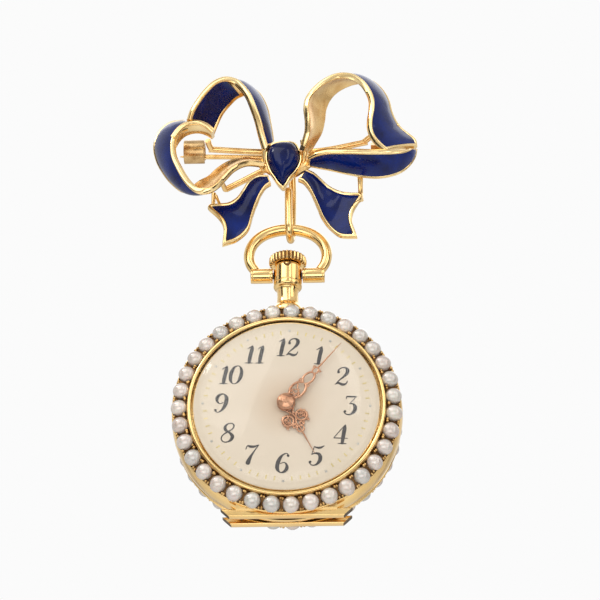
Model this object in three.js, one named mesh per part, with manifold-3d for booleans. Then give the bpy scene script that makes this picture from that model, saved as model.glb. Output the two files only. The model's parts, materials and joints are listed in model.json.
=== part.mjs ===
// Fob watch: bow brooch with enamelled ribbons, suspension hook, and an open-faced keyless watch with two rings of half pearls.
// Units are millimetres, +Z is up (twelve o'clock), the dial faces -Y and +X is to the right of someone facing the dial.
// The origin is on the brooch pin.
import * as THREE from 'three';
import Module from 'manifold-3d';

// ---- driving dimensions (mm) ----
const WATCH_Y = -5.0;            // plane of the bezel's front edge
const WATCH_Z = -39.3;           // height of the dial centre
const CASE_R = 14.5;             // outer radius of the case band
const CASE_BORE_R = 12.4;        // bore of the case band
const BAND_Y0 = 1.55, BAND_Y1 = 4.9;   // case band, measured back from the bezel plane
const PEARL_COUNT = 35;          // half pearls in each ring
const PEARL_R = 1.02;            // pearl radius
const PEARL_RING_R = 13.45;      // radius of the circle of pearl centres
const DIAL_R = 11.6;
const STEM_Y = 3.6;              // depth of the winding stem and bow axis
const BOW_AXIS_W = 20.4;         // height of the bow pivots above the dial centre
const BOW_TOP_W = 27.35;         // height of the bow's top centreline above the dial centre
const BOW_TUBE_R = 0.76;
const BOW_BARREL_R = 0.98;
const HOOK_R = 1.42;             // centreline radius of the hook's bend
const HOOK_WIRE_R = 0.5;
const HINGE_W = -13.98;          // height of the cover hinges below the dial centre
const BEZEL_HINGE_Y = 2.05, BACK_HINGE_Y = 4.45;
const HINGE_BAR_R = 0.5, HINGE_HALF = 7.6;
const RIBBON_T = 0.7;            // ribbon thickness
const ENAMEL_T = 0.14, ENAMEL_GAP = 0.025;
const PIN_R = 0.36;
const TIME_MINUTE_DEG = 40, TIME_HOUR_DEG = 153;

// ---- ribbon edges, [x, y, z] in mm ----
const LEFT_UPPER_FRONT = [[-13.16,-7.6,1.56],[-12.77,-7.9,2.78],[-12.06,-8.1,4.13],[-10.96,-8.2,5.87],[-9.59,-8.2,7.36],[-8.14,-8.2,7.88],[-6.8,-8.2,7.45],[-5.73,-8.2,6.3],[-4.85,-8.2,4.85],[-4.18,-8.0,3.06],[-3.59,-7.6,1.26],[-3.21,-7.0,-0.39],[-2.71,-6.2,-2.23]];
const LEFT_UPPER_REAR = [[-10.24,-3.8,1.23],[-9.68,-3.8,3.12],[-9.04,-3.8,4.87],[-7.99,-3.8,6.45],[-7.0,-3.8,7.67],[-5.99,-3.8,8.34],[-5.06,-3.8,8.97],[-4.11,-3.8,8.46],[-3.3,-3.8,7.31],[-2.61,-3.8,5.52],[-2.26,-4.0,3.46],[-1.97,-4.2,1.57],[-1.75,-4.4,-0.46]];
const LEFT_LOWER_FRONT = [[-13.07,-7.6,0.54],[-14.21,-7.9,-0.34],[-14.82,-8.1,-1.71],[-14.9,-8.2,-3.25],[-14.67,-8.2,-4.8],[-14.04,-8.2,-6.36],[-13.29,-8.2,-7.91],[-12.35,-8.2,-9.31],[-11.16,-8.2,-10.24],[-9.87,-8.2,-10.27],[-8.72,-8.1,-9.5],[-7.78,-7.9,-8.15],[-6.66,-7.5,-6.54],[-5.14,-7.0,-5.41],[-2.96,-6.2,-5.1]];
const LEFT_LOWER_REAR = [[-13.78,-4.4,3.54],[-15.67,-4.2,3.4],[-17.12,-4.0,2.21],[-17.79,-4.0,-0.07],[-17.38,-4.0,-2.52],[-16.47,-4.0,-4.42],[-15.28,-4.2,-6.2],[-13.62,-4.7,-7.86],[-12.27,-5.2,-7.97],[-11.23,-5.4,-7.2],[-10.06,-5.4,-6.53],[-8.9,-5.4,-5.29],[-7.47,-5.4,-4.26],[-5.64,-5.3,-3.74],[-3.3,-4.8,-3.74]];
const RIGHT_UPPER_FRONT = [[1.76,-6.2,-2.65],[2.11,-7.0,-1.77],[2.47,-7.7,-0.67],[2.48,-8.1,0.79],[2.29,-8.2,2.62],[2.55,-8.2,4.27],[3.48,-8.2,5.76],[4.88,-8.2,7.09],[6.6,-8.2,7.96],[8.46,-8.2,7.88],[9.91,-8.2,6.89],[10.84,-8.2,5.43],[11.34,-8.2,3.83],[11.33,-8.2,2.25],[11.05,-8.2,0.68],[10.99,-8.1,-0.66],[11.36,-8.0,-1.93],[12.13,-7.9,-2.97],[13.03,-7.8,-3.85]];
const RIGHT_UPPER_REAR = [[2.49,-4.6,-2.1],[3.21,-4.1,-0.22],[4.07,-3.9,1.47],[4.47,-3.8,3.28],[4.68,-3.8,5.27],[5.29,-3.8,7.03],[6.24,-3.8,8.33],[7.59,-3.8,9.32],[9.08,-3.8,9.93],[10.7,-3.8,10.05],[11.9,-3.8,9.3],[12.95,-3.8,7.97],[13.63,-3.8,6.43],[13.96,-3.8,4.81],[14.47,-3.8,3.36],[15.17,-3.8,2.15],[16.15,-3.8,1.18],[17.05,-3.8,0.21],[17.27,-3.8,-0.9]];
const RIGHT_LOWER_FRONT = [[16.32,-6.0,-2.61],[15.77,-6.8,-3.38],[14.85,-7.4,-3.95],[13.8,-7.8,-4.23],[12.5,-8.0,-4.33],[10.94,-8.0,-4.29],[8.99,-8.0,-4.2],[7.03,-7.9,-4.09],[5.33,-7.6,-3.91],[3.88,-7.0,-3.83],[2.81,-6.2,-3.88]];
const RIGHT_LOWER_REAR = [[17.12,-3.9,-1.35],[16.92,-3.8,-2.54],[16.23,-3.8,-3.85],[15.16,-3.8,-4.91],[13.64,-3.8,-5.58],[11.92,-3.8,-5.85],[9.96,-3.8,-5.65],[7.86,-3.9,-5.2],[5.89,-4.0,-4.68],[4.19,-4.2,-4.38],[2.62,-4.4,-4.08]];
const LEFT_TAIL_OUTLINE = [[-1.98,-6.54],[-2.63,-6.99],[-3.28,-7.9],[-3.8,-9.12],[-4.18,-10.18],[-4.56,-11.7],[-4.81,-12.91],[-5.18,-13.96],[-6.08,-14.93],[-7.11,-15.43],[-7.88,-15.79],[-8.41,-15.55],[-8.68,-14.49],[-8.64,-13.44],[-8.58,-12.53],[-9.25,-11.91],[-9.92,-10.98],[-10.13,-10.21],[-9.94,-9.45],[-8.76,-9.47],[-7.98,-9.41],[-7.07,-9.05],[-6.16,-8.3],[-5.65,-7.08],[-4.88,-5.86],[-3.96,-5.18],[-3.17,-4.97],[-2.25,-5.14]];
const LEFT_TAIL_ENAMEL = [[-2.5,-5.65],[-3.16,-5.4],[-3.95,-5.62],[-4.73,-6.14],[-5.38,-6.98],[-5.89,-7.97],[-6.41,-8.88],[-7.05,-9.63],[-7.83,-10.08],[-8.61,-10.14],[-9.4,-10.04],[-9.26,-10.5],[-8.72,-11.28],[-8.06,-12.05],[-7.92,-12.51],[-8.11,-13.27],[-8.09,-14.02],[-7.89,-14.71],[-7.37,-14.87],[-6.72,-14.5],[-5.95,-13.92],[-5.44,-13.17],[-5.06,-12.27],[-4.81,-11.21],[-4.69,-10.14],[-4.44,-9.23],[-4.06,-8.01],[-3.41,-6.94],[-2.89,-6.18]];
const RIGHT_TAIL_OUTLINE = [[1.3,-6.15],[2.09,-6.32],[2.87,-7.42],[3.52,-8.97],[4.04,-10.51],[4.56,-11.9],[5.33,-13.28],[6.23,-14.28],[7.26,-14.83],[8.29,-15.0],[8.94,-14.86],[9.08,-14.41],[9.02,-13.35],[8.84,-12.29],[8.53,-11.37],[8.86,-10.77],[9.39,-9.71],[9.67,-8.64],[9.67,-8.18],[8.89,-8.17],[7.97,-8.07],[7.06,-7.9],[6.28,-7.49],[5.36,-6.93],[4.45,-5.91],[3.54,-4.96],[2.62,-4.39],[1.69,-4.76]];
const RIGHT_TAIL_ENAMEL = [[2.1,-5.13],[2.49,-4.83],[3.28,-5.31],[4.06,-6.03],[4.85,-6.97],[5.5,-7.76],[6.15,-8.38],[6.93,-8.79],[7.84,-8.96],[8.75,-8.82],[8.48,-9.51],[8.09,-10.19],[7.89,-10.72],[7.95,-11.33],[8.26,-12.09],[8.45,-12.86],[8.44,-13.76],[8.18,-14.14],[7.53,-14.2],[6.75,-13.96],[5.98,-13.33],[5.47,-12.57],[4.95,-11.42],[4.44,-10.19],[3.92,-8.95],[3.4,-7.71],[2.88,-6.46]];
const KNOT_OUTLINE = [[-0.36,-1.23],[-1.55,-1.44],[-2.2,-1.97],[-2.46,-2.67],[-2.52,-3.6],[-2.38,-4.38],[-2.05,-5.32],[-1.52,-6.26],[-1.0,-7.12],[-0.47,-7.59],[-0.08,-7.06],[0.31,-6.3],[0.96,-5.46],[1.48,-4.47],[1.62,-3.54],[1.35,-2.29],[0.82,-1.49]];

// ---- materials ----
const GOLD = { color: 0xd9ab50, roughness: 0.24, metalness: 1 };
const ROSE = { color: 0xc98f6e, roughness: 0.28, metalness: 1 };
const ENAMEL = { color: 0x1f2f8c, roughness: 0.12, metalness: 0 };
const PEARL = { color: 0xe9e1dc, roughness: 0.3, metalness: 0 };
const STEEL = { color: 0xb9bcc2, roughness: 0.28, metalness: 1 };
const BLUED = { color: 0x2a3c78, roughness: 0.3, metalness: 1 };
const GILT = { color: 0xd8b25c, roughness: 0.4, metalness: 1 };
const DIAL = { color: 0xeee6d0, roughness: 0.35, metalness: 0 };
const GLASS = { color: 0xdfe8ea, roughness: 0.04, metalness: 0, transparent: true, opacity: 0.3 };

const wasm = await Module();
wasm.setup();
const root = new THREE.Group();
root.name = 'fob_watch';

// ---- geometry helpers ----
function finish(pos, idx) {
  // merge equal points, drop degenerate faces, face outward
  const key = new Map(), out = [], remap = [];
  for (let i = 0; i < pos.length; i += 3) {
    const k = [0, 1, 2].map(j => Math.round(pos[i + j] * 2e3)).join(',');
    if (!key.has(k)) { key.set(k, out.length / 3); out.push(pos[i], pos[i + 1], pos[i + 2]); }
    remap.push(key.get(k));
  }
  let tri = [];
  for (let i = 0; i < idx.length; i += 3) {
    const a = remap[idx[i]], b = remap[idx[i + 1]], c = remap[idx[i + 2]];
    if (a !== b && b !== c && a !== c) tri.push(a, b, c);
  }
  let vol = 0;
  for (let i = 0; i < tri.length; i += 3) {
    const [a, b, c] = [tri[i] * 3, tri[i + 1] * 3, tri[i + 2] * 3];
    vol += out[a] * (out[b + 1] * out[c + 2] - out[b + 2] * out[c + 1]) - out[a + 1] * (out[b] * out[c + 2] - out[b + 2] * out[c]) + out[a + 2] * (out[b] * out[c + 1] - out[b + 1] * out[c]);
  }
  if (vol < 0) for (let i = 0; i < tri.length; i += 3) [tri[i + 1], tri[i + 2]] = [tri[i + 2], tri[i + 1]];
  const g = new THREE.BufferGeometry();
  g.setAttribute('position', new THREE.Float32BufferAttribute(out, 3));
  g.setIndex(tri);
  return g;
}
function solid(g) {
  return new wasm.Manifold(new wasm.Mesh({ numProp: 3, vertProperties: new Float32Array(g.attributes.position.array), triVerts: new Uint32Array(g.index.array) }));
}
function geo(m) {
  const mesh = m.getMesh(), g = new THREE.BufferGeometry(), n = mesh.numProp, v = [];
  for (let i = 0; i < mesh.vertProperties.length; i += n) v.push(mesh.vertProperties[i], mesh.vertProperties[i + 1], mesh.vertProperties[i + 2]);
  return finish(v, Array.from(mesh.triVerts));
}
function union(...gs) { let m = solid(gs[0]); for (const g of gs.slice(1)) m = m.add(solid(g)); return geo(m); }
function cut(a, ...bs) { let m = solid(a); for (const b of bs) m = m.subtract(solid(b)); return geo(m); }
// closed profile of [radius, height] turned about +Z
function turn(profile, n, phase = 0) {
  const pos = [], idx = [], m = profile.length;
  for (let i = 0; i < n; i++) {
    const a = phase + 2 * Math.PI * i / n;
    for (const [r, h] of profile) pos.push(r * Math.cos(a), r * Math.sin(a), h);
  }
  for (let i = 0; i < n; i++) for (let j = 0; j < m; j++) {
    const i2 = (i + 1) % n, j2 = (j + 1) % m;
    const a = i * m + j, b = i2 * m + j, c = i2 * m + j2, d = i * m + j2;
    idx.push(a, b, c, a, c, d);
  }
  return finish(pos, idx);
}
function place(g, matrix) { const c = g.clone(); c.applyMatrix4(matrix); return finish(Array.from(c.attributes.position.array), Array.from(c.index.array)); }
const M4 = () => new THREE.Matrix4();
// turn about an axis along +Y, profile is [radius, y measured back from the bezel plane], centred at (x, w) from the dial centre
function turnY(profile, n, x = 0, w = 0, phase = 0) {
  const g = turn(profile, n, phase);
  // local Z -> +Y, local X -> +X, local Y -> -Z
  const m = new THREE.Matrix4().makeBasis(new THREE.Vector3(1, 0, 0), new THREE.Vector3(0, 0, -1), new THREE.Vector3(0, 1, 0));
  m.setPosition(x, WATCH_Y, WATCH_Z + w);
  return place(g, m);
}
// turn about the vertical line through (x, y) with profile [radius, w above the dial centre]
function turnZ(profile, n, x = 0, y = STEM_Y, phase = 0) {
  return place(turn(profile, n, phase), M4().makeTranslation(x, WATCH_Y + y, WATCH_Z));
}
// rod between two points
function rod(p, q, r, n = 12, r2 = r) {
  const a = new THREE.Vector3(...p), b = new THREE.Vector3(...q), d = b.clone().sub(a), L = d.length();
  const g = turn([[0, 0], [r, 0], [r2, L], [0, L]], n);
  const qn = new THREE.Quaternion().setFromUnitVectors(new THREE.Vector3(0, 0, 1), d.normalize());
  return place(g, M4().compose(a, qn, new THREE.Vector3(1, 1, 1)));
}
function box(x0, x1, y0, y1, z0, z1) {
  const p = [];
  for (const z of [z0, z1]) for (const y of [y0, y1]) for (const x of [x0, x1]) p.push(x, y, z);
  return finish(p, [0, 2, 3, 0, 3, 1, 4, 5, 7, 4, 7, 6, 0, 1, 5, 0, 5, 4, 2, 6, 7, 2, 7, 3, 0, 4, 6, 0, 6, 2, 1, 3, 7, 1, 7, 5]);
}
// prism of a polygon [[x, z]...] between two depths
function prism(outline, y0, y1) {
  let poly = outline, c = poly.map(p => new THREE.Vector2(p[0], p[1]));
  if (THREE.ShapeUtils.area(c) < 0) { poly = [...poly].reverse(); c = poly.map(p => new THREE.Vector2(p[0], p[1])); }
  const f = THREE.ShapeUtils.triangulateShape(c, []), n = poly.length, pos = [], idx = [];
  for (const y of [y0, y1]) for (const [x, z] of poly) pos.push(x, y, z);
  for (const [a, b, d] of f) idx.push(a, b, d, a + n, d + n, b + n);
  for (let i = 0; i < n; i++) { const j = (i + 1) % n; idx.push(i, j + n, j, i, i + n, j + n); }
  return finish(pos, idx);
}
const mPrism = (poly, y0, y1) => prism(poly.map(([x, w]) => [x, w + WATCH_Z]), y0 + WATCH_Y, y1 + WATCH_Y);
function curve(pts, n, closed = false) { return new THREE.CatmullRomCurve3(pts.map(p => new THREE.Vector3(...p)), closed, 'centripetal').getPoints(n); }
// round tube through points, with flat ends
function tube(pts, r, n, m = 8, side = [0, 1, 0], flat = 1) {
  const c = curve(pts, n), pos = [], idx = [], up = new THREE.Vector3(...side);
  c.forEach((p, i) => {
    const t = c[Math.min(i + 1, n)].clone().sub(c[Math.max(i - 1, 0)]).normalize();
    const u = new THREE.Vector3().crossVectors(t, up).normalize(), v = new THREE.Vector3().crossVectors(u, t).normalize();
    const rr = typeof r === 'function' ? r(i / n) : r;
    for (let k = 0; k < m; k++) { const a = 2 * Math.PI * (k + 0.5) / m; pos.push(...p.clone().addScaledVector(u, rr * Math.cos(a)).addScaledVector(v, rr * flat * Math.sin(a)).toArray()); }
  });
  for (let i = 0; i < n; i++) for (let k = 0; k < m; k++) { const a = i * m + k, b = i * m + (k + 1) % m; idx.push(a, b, b + m, a, b + m, a + m); }
  const s = pos.length / 3; pos.push(...c[0].toArray(), ...c[n].toArray());
  for (let k = 0; k < m; k++) { const k2 = (k + 1) % m; idx.push(s, k2, k, s + 1, n * m + k, n * m + k2); }
  return finish(pos, idx);
}
// ribbon between a front and a rear edge; `lift` bows it outward, offsets give the two faces
function ribbonFaces(front, rear, n, across, lift) {
  const f = curve(front, n), r = curve(rear, n), rows = [];
  for (let i = 0; i <= n; i++) {
    const t = f[Math.min(i + 1, n)].clone().add(r[Math.min(i + 1, n)]).sub(f[Math.max(i - 1, 0)]).sub(r[Math.max(i - 1, 0)]).normalize();
    const w = r[i].clone().sub(f[i]), nn = new THREE.Vector3().crossVectors(t, w).normalize();
    const row = [];
    for (let k = 0; k <= across; k++) { const s = k / across; row.push({ p: f[i].clone().lerp(r[i], s).addScaledVector(nn, lift * 4 * s * (1 - s)), n: nn }); }
    rows.push(row);
  }
  return rows;
}
function slab(rows, d0, d1) {
  const n = rows.length, m = rows[0].length, pos = [], idx = [];
  for (const d of [d0, d1]) for (const row of rows) for (const q of row) pos.push(...q.p.clone().addScaledVector(q.n, d).toArray());
  const id = (s, i, k) => s * n * m + i * m + k;
  for (let i = 0; i < n - 1; i++) for (let k = 0; k < m - 1; k++) {
    idx.push(id(0, i, k), id(0, i + 1, k), id(0, i + 1, k + 1), id(0, i, k), id(0, i + 1, k + 1), id(0, i, k + 1));
    idx.push(id(1, i, k), id(1, i + 1, k + 1), id(1, i + 1, k), id(1, i, k), id(1, i, k + 1), id(1, i + 1, k + 1));
  }
  const rim = [];
  for (let i = 0; i < n - 1; i++) rim.push([i, 0]);
  for (let k = 0; k < m - 1; k++) rim.push([n - 1, k]);
  for (let i = n - 1; i > 0; i--) rim.push([i, m - 1]);
  for (let k = m - 1; k > 0; k--) rim.push([0, k]);
  rim.forEach(([i, k], q) => { const [i2, k2] = rim[(q + 1) % rim.length]; idx.push(id(0, i, k), id(1, i, k), id(1, i2, k2), id(0, i, k), id(1, i2, k2), id(0, i2, k2)); });
  return finish(pos, idx);
}
function gear(teeth, rTip, rRoot, y0, y1, x, w, phase = 0) {
  const poly = [];
  for (let i = 0; i < teeth * 2; i++) { const a = phase + Math.PI * i / teeth, r = i % 2 ? rRoot : rTip; poly.push([x + r * Math.cos(a), w + r * Math.sin(a)]); }
  return mPrism(poly, y0, y1);
}
const disc = (x, w, r, y0, y1, n = 16) => turnY([[0, y0], [r, y0], [r, y1], [0, y1]], n, x, w);
function add(name, g, mat) {
  const mesh = new THREE.Mesh(g, new THREE.MeshStandardMaterial(mat));
  mesh.name = name; root.add(mesh);
}

// ================= brooch =================
function band(name, front, rear, n, sign, lift, e0, e1, trim = 0) {
  const rows = ribbonFaces(front, rear, n, 2, lift * sign).slice(0, n + 1 - trim);
  add(`ribbon_${name}`, slab(rows, -sign * RIBBON_T, 0), GOLD);
  // enamel panel laid on the outer face, inside the gold border
  const inner = ribbonFaces(front, rear, n, 8, lift * sign).slice(e0, e1).map(r => [r[1], r[4], r[7]]);
  add(`enamel_${name}`, slab(inner, sign * ENAMEL_GAP, sign * (ENAMEL_GAP + ENAMEL_T)), ENAMEL);
}
band('left_upper', LEFT_UPPER_FRONT, LEFT_UPPER_REAR, 20, 1, 0.35, 1, 20);
band('left_lower', LEFT_LOWER_FRONT, LEFT_LOWER_REAR, 20, -1, 0.25, 1, 11);
band('right_upper', RIGHT_UPPER_FRONT, RIGHT_UPPER_REAR, 24, 1, 0.35, 10, 23, 1);
band('right_lower', RIGHT_LOWER_FRONT, RIGHT_LOWER_REAR, 14, 1, 0.2, 1, 14);

const TAIL_Y = -4.4;
add('ribbon_left_tail', prism(LEFT_TAIL_OUTLINE, TAIL_Y, TAIL_Y + 0.9), GOLD);
add('enamel_left_tail', prism(LEFT_TAIL_ENAMEL, TAIL_Y - ENAMEL_T - ENAMEL_GAP, TAIL_Y - ENAMEL_GAP), ENAMEL);
add('ribbon_right_tail', prism(RIGHT_TAIL_OUTLINE, TAIL_Y, TAIL_Y + 0.9), GOLD);
add('enamel_right_tail', prism(RIGHT_TAIL_ENAMEL, TAIL_Y - ENAMEL_T - ENAMEL_GAP, TAIL_Y - ENAMEL_GAP), ENAMEL);

// knot: domed cabochon in a gold cup
const kc = KNOT_OUTLINE.reduce((s, p) => [s[0] + p[0] / KNOT_OUTLINE.length, s[1] + p[1] / KNOT_OUTLINE.length], [0, 0]);
const grow = (k) => KNOT_OUTLINE.map(([x, z]) => [kc[0] + (x - kc[0]) * k, kc[1] + (z - kc[1]) * k]);
function dome(layers) {   // layers: [scale, y]
  const pos = [], idx = [], n = KNOT_OUTLINE.length;
  for (const [k, y] of layers) for (const [x, z] of grow(k)) pos.push(x, y, z);
  for (let l = 0; l < layers.length - 1; l++) for (let i = 0; i < n; i++) { const j = (i + 1) % n; idx.push(l * n + i, l * n + j, (l + 1) * n + j, l * n + i, (l + 1) * n + j, (l + 1) * n + i); }
  const s = pos.length / 3, L = layers.length - 1;
  pos.push(kc[0], layers[0][1], kc[1], kc[0], layers[L][1], kc[1]);
  for (let i = 0; i < n; i++) { const j = (i + 1) % n; idx.push(s, j, i, s + 1, L * n + i, L * n + j); }
  return finish(pos, idx);
}
const KNOT_Y = -5.55;
add('knot_setting', dome([[1.08, KNOT_Y + 0.35], [1.15, KNOT_Y + 0.35], [1.12, KNOT_Y + 0.9], [1.02, KNOT_Y + 1.0]]), GOLD);
add('knot_cabochon', dome([[1.0, KNOT_Y + 0.3], [1.0, KNOT_Y - 0.2], [0.9, KNOT_Y - 0.9], [0.7, KNOT_Y - 1.4], [0.4, KNOT_Y - 1.7], [0.12, KNOT_Y - 1.8]]), ENAMEL);

// frame bar behind the bow, with a post to the knot
const bar = tube([[-10.6, -1.6, 0.7], [-3.1, -1.6, 0.1], [4, -1.6, 0.1], [10.6, -1.75, 1.3]], 0.42, 10, 8);
add('brooch_frame', union(bar, rod([-0.6, -1.6, -0.2], [-0.6, -3.4, -1.6], 0.55, 8), rod([-10.2, -1.6, 0.6], [-10.6, -3.4, 0.9], 0.4, 8), rod([10.0, -1.7, 1.2], [12.4, -3.4, 2.4], 0.4, 8)), GOLD);
add('rear_brace', tube([[-1.6, -2.3, -2.6], [-3.4, -2.2, -3.3], [-8.3, -1.9, -5.9]], 0.42, 4, 8), GOLD);
add('strut_left', union(rod([-9.7, -3.1, -7.3], [-9.8, -3.1, -9.9], 0.3, 8), rod([-9.7, -3.1, -9.4], [-8.5, -3.1, -9.6], 0.22, 8)), GOLD);
add('strut_right', rod([9.6, -3.05, -5.9], [9.6, -3.05, -8.6], 0.38, 8), GOLD);

// suspension hook: a loop of wire open behind the knot
const hz = WATCH_Z + BOW_TOP_W + 0.07, hy = WATCH_Y + STEM_Y, hookPts = [];
hookPts.push([0.12, hy - HOOK_R, -6.4], [0.12, hy - HOOK_R, -8.6], [0.14, hy - HOOK_R, -11]);
for (let i = 0; i <= 6; i++) { const a = Math.PI * i / 6; hookPts.push([0.14 + 0.32 * i / 6, hy - HOOK_R * Math.cos(a), hz - HOOK_R * Math.sin(a)]); }
hookPts.push([0.5, hy + HOOK_R, -10.2], [0.55, hy + HOOK_R, -6], [0.5, -0.35, -3.2], [0.4, -1.0, -1.35], [0.35, -1.3, -0.65]);
add('suspension_hook', tube(hookPts, HOOK_WIRE_R, 26, 7, [1, 0, 0]), GOLD);

// pin, its joint and its catch; the catch mouth faces back and down
const S = Math.SQRT1_2, AX = new THREE.Vector3(0, -S, -S), DD = new THREE.Vector3(0, S, -S);
const PIN_JOINT = [11.9, 0, 0.55];
function pinLocal(g) { // local Z along the joint axis, local X along -X, local Y toward the mouth
  const m = new THREE.Matrix4().makeBasis(new THREE.Vector3(-1, 0, 0), DD.clone(), new THREE.Vector3().crossVectors(new THREE.Vector3(-1, 0, 0), DD));
  m.setPosition(...PIN_JOINT); return place(g, m);
}
const lbox = (x0, x1, y0, y1, z0, z1) => box(x0, x1, y0, y1, z0, z1);
const stem = union(tube([[11.2, 0, 0.5], [6, 0, 0.3], [-1, 0, 0.18], [-8, 0, 0.45], [-13.0, 0, 0.6]], PIN_R, 8, 8), rod([-12.98, 0, 0.599], [-14.6, 0, 0.63], PIN_R, 8, 0.1), pinLocal(turn([[0, -0.42], [0.85, -0.42], [0.85, 0.42], [0, 0.42]], 16)));
add('pin_stem', cut(stem, pinLocal(turn([[0, -1], [0.33, -1], [0.33, 1], [0, 1]], 12))), GOLD);
const ears = union(pinLocal(lbox(-0.85, 0.85, -1.35, 0.8, 0.48, 0.85)), pinLocal(lbox(-0.85, 0.85, -1.35, 0.8, -0.85, -0.48)), pinLocal(lbox(-0.85, 0.85, -1.35, -1.0, -0.85, 0.85)));
add('pin_hinge', cut(ears, pinLocal(turn([[0, -2], [0.31, -2], [0.31, 2], [0, 2]], 12))), GOLD);
add('pin_rivet', pinLocal(turn([[0, -1.2], [0.42, -1.1], [0.42, -0.89], [0.26, -0.89], [0.26, 0.89], [0.42, 0.89], [0.42, 1.1], [0, 1.2]], 12)), GOLD);
const catchPos = [], catchIdx = [], CN = 12, CC = [-0.35, 1.05];
for (let i = 0; i <= CN; i++) {   // strip bent round the pin; the gap faces back and down
  const a = -Math.PI / 4 + (0.62 + (2 * Math.PI - 1.24) * i / CN);
  for (const r of [1.25, 1.65]) for (const x of [-14.0, -11.2]) catchPos.push(x, CC[0] + r * Math.cos(a), CC[1] + r * Math.sin(a));
}
for (let i = 0; i < CN; i++) { const o = i * 4, q = [0, 1, 3, 2]; for (let k = 0; k < 4; k++) { const a = o + q[k], b = o + q[(k + 1) % 4]; catchIdx.push(a, b, b + 4, a, b + 4, a + 4); } }
catchIdx.push(0, 2, 3, 0, 3, 1); { const o = CN * 4; catchIdx.push(o, o + 1, o + 3, o, o + 3, o + 2); }
add('pin_catch', finish(catchPos, catchIdx), GOLD);

// ================= watch: bow and pendant =================
const bowPts = [[-4.2, 21.1], [-4.85, 22.2], [-5.05, 23.6], [-4.6, 25.1], [-3.47, 26.35], [-1.83, 27.1], [0, BOW_TOP_W], [1.83, 27.1], [3.47, 26.35], [4.6, 25.1], [5.05, 23.6], [4.85, 22.2], [4.2, 21.1]].map(([x, w]) => [x, WATCH_Y + STEM_Y, WATCH_Z + w]);
const by = WATCH_Y + STEM_Y, bz = WATCH_Z + BOW_AXIS_W;
const barrelL = rod([-4.8, by, bz], [-1.95, by, bz], BOW_BARREL_R, 14), barrelR = rod([1.95, by, bz], [4.8, by, bz], BOW_BARREL_R, 14);
const bowWire = tube(bowPts, (s) => 0.66 + (BOW_TUBE_R - 0.66) * Math.sin(Math.PI * s), 20, 8);
add('bow', cut(union(bowWire, barrelL, barrelR), rod([-5.2, by, bz], [-1.5, by, bz], 0.48, 10), rod([1.5, by, bz], [5.2, by, bz], 0.48, 10)), GOLD);
add('bow_screw_left', rod([-4.5, by, bz], [-1.86, by, bz], 0.44, 10), STEEL);
add('bow_screw_right', rod([1.86, by, bz], [4.5, by, bz], 0.44, 10), STEEL);

const pendant = turnZ([[0, 13.6], [2.05, 13.6], [2.0, 15.0], [1.85, 15.4], [1.45, 16.0], [1.35, 17.2], [1.4, 18.3], [1.84, 18.6], [1.84, 21.66], [1.2, 21.72], [0, 21.72]], 20);
const bore = turnZ([[0, 10], [0.52, 10], [0.52, 23], [0, 23]], 12);
add('pendant', cut(pendant, turnY([[0, -6], [CASE_R + 0.03, -6], [CASE_R + 0.03, 14], [0, 14]], 48), bore, turnZ([[0, 20.6], [0.8, 20.6], [0.8, 23], [0, 23]], 12)), GOLD);
add('crown_sleeve', turnZ([[0.5, 20.75], [0.72, 20.75], [0.72, 22.0], [0.5, 22.0]], 12), STEEL);
const flutes = 20, crownPos = [], crownIdx = [];
const crownLayers = [[2.3, 21.82], [2.42, 21.95], [2.42, 22.85], [2.3, 23.0], [1.5, 23.45], [0.5, 23.6]];
crownLayers.forEach(([r, w]) => { for (let i = 0; i < flutes * 2; i++) { const a = Math.PI * i / flutes, rr = r > 2 ? r - (i % 2 ? 0.14 : 0) : r; crownPos.push(rr * Math.cos(a), rr * Math.sin(a), w); } });
for (let l = 0; l < crownLayers.length - 1; l++) for (let i = 0; i < flutes * 2; i++) { const j = (i + 1) % (flutes * 2), n = flutes * 2; crownIdx.push(l * n + i, l * n + j, (l + 1) * n + j, l * n + i, (l + 1) * n + j, (l + 1) * n + i); }
{ const s = crownPos.length / 3, n = flutes * 2, L = (crownLayers.length - 1) * n; crownPos.push(0, 0, 21.82, 0, 0, 23.6); for (let i = 0; i < n; i++) { const j = (i + 1) % n; crownIdx.push(s, j, i, s + 1, L + i, L + j); } }
const crownSolid = place(finish(crownPos, crownIdx), M4().makeTranslation(0, WATCH_Y + STEM_Y, WATCH_Z));
add('crown', cut(crownSolid, turnZ([[0, 21], [0.85, 21], [0.85, 22.1], [0, 22.1]], 12)), GOLD);
add('winding_stem', turnZ([[0, 8.35], [0.64, 8.35], [0.64, 9.15], [0.4, 9.15], [0.4, 22.05], [0, 22.05]], 12), STEEL);

// ================= case =================
const bandProfile = [[CASE_BORE_R, BAND_Y0], [14.05, BAND_Y0], [14.4, 2.0], [CASE_R, 3.2], [14.4, 4.4], [14.05, BAND_Y1], [CASE_BORE_R, BAND_Y1]];
const slotF = box(-HINGE_HALF - 0.1, HINGE_HALF + 0.1, WATCH_Y + 1.2, WATCH_Y + 2.92, WATCH_Z - 16, WATCH_Z - 13.2);
const slotB = box(-HINGE_HALF - 0.1, HINGE_HALF + 0.1, WATCH_Y + 3.58, WATCH_Y + 5.2, WATCH_Z - 16, WATCH_Z - 13.2);
add('case_band', cut(turnY(bandProfile, 44), slotF, slotB, bore), GOLD);

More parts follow.
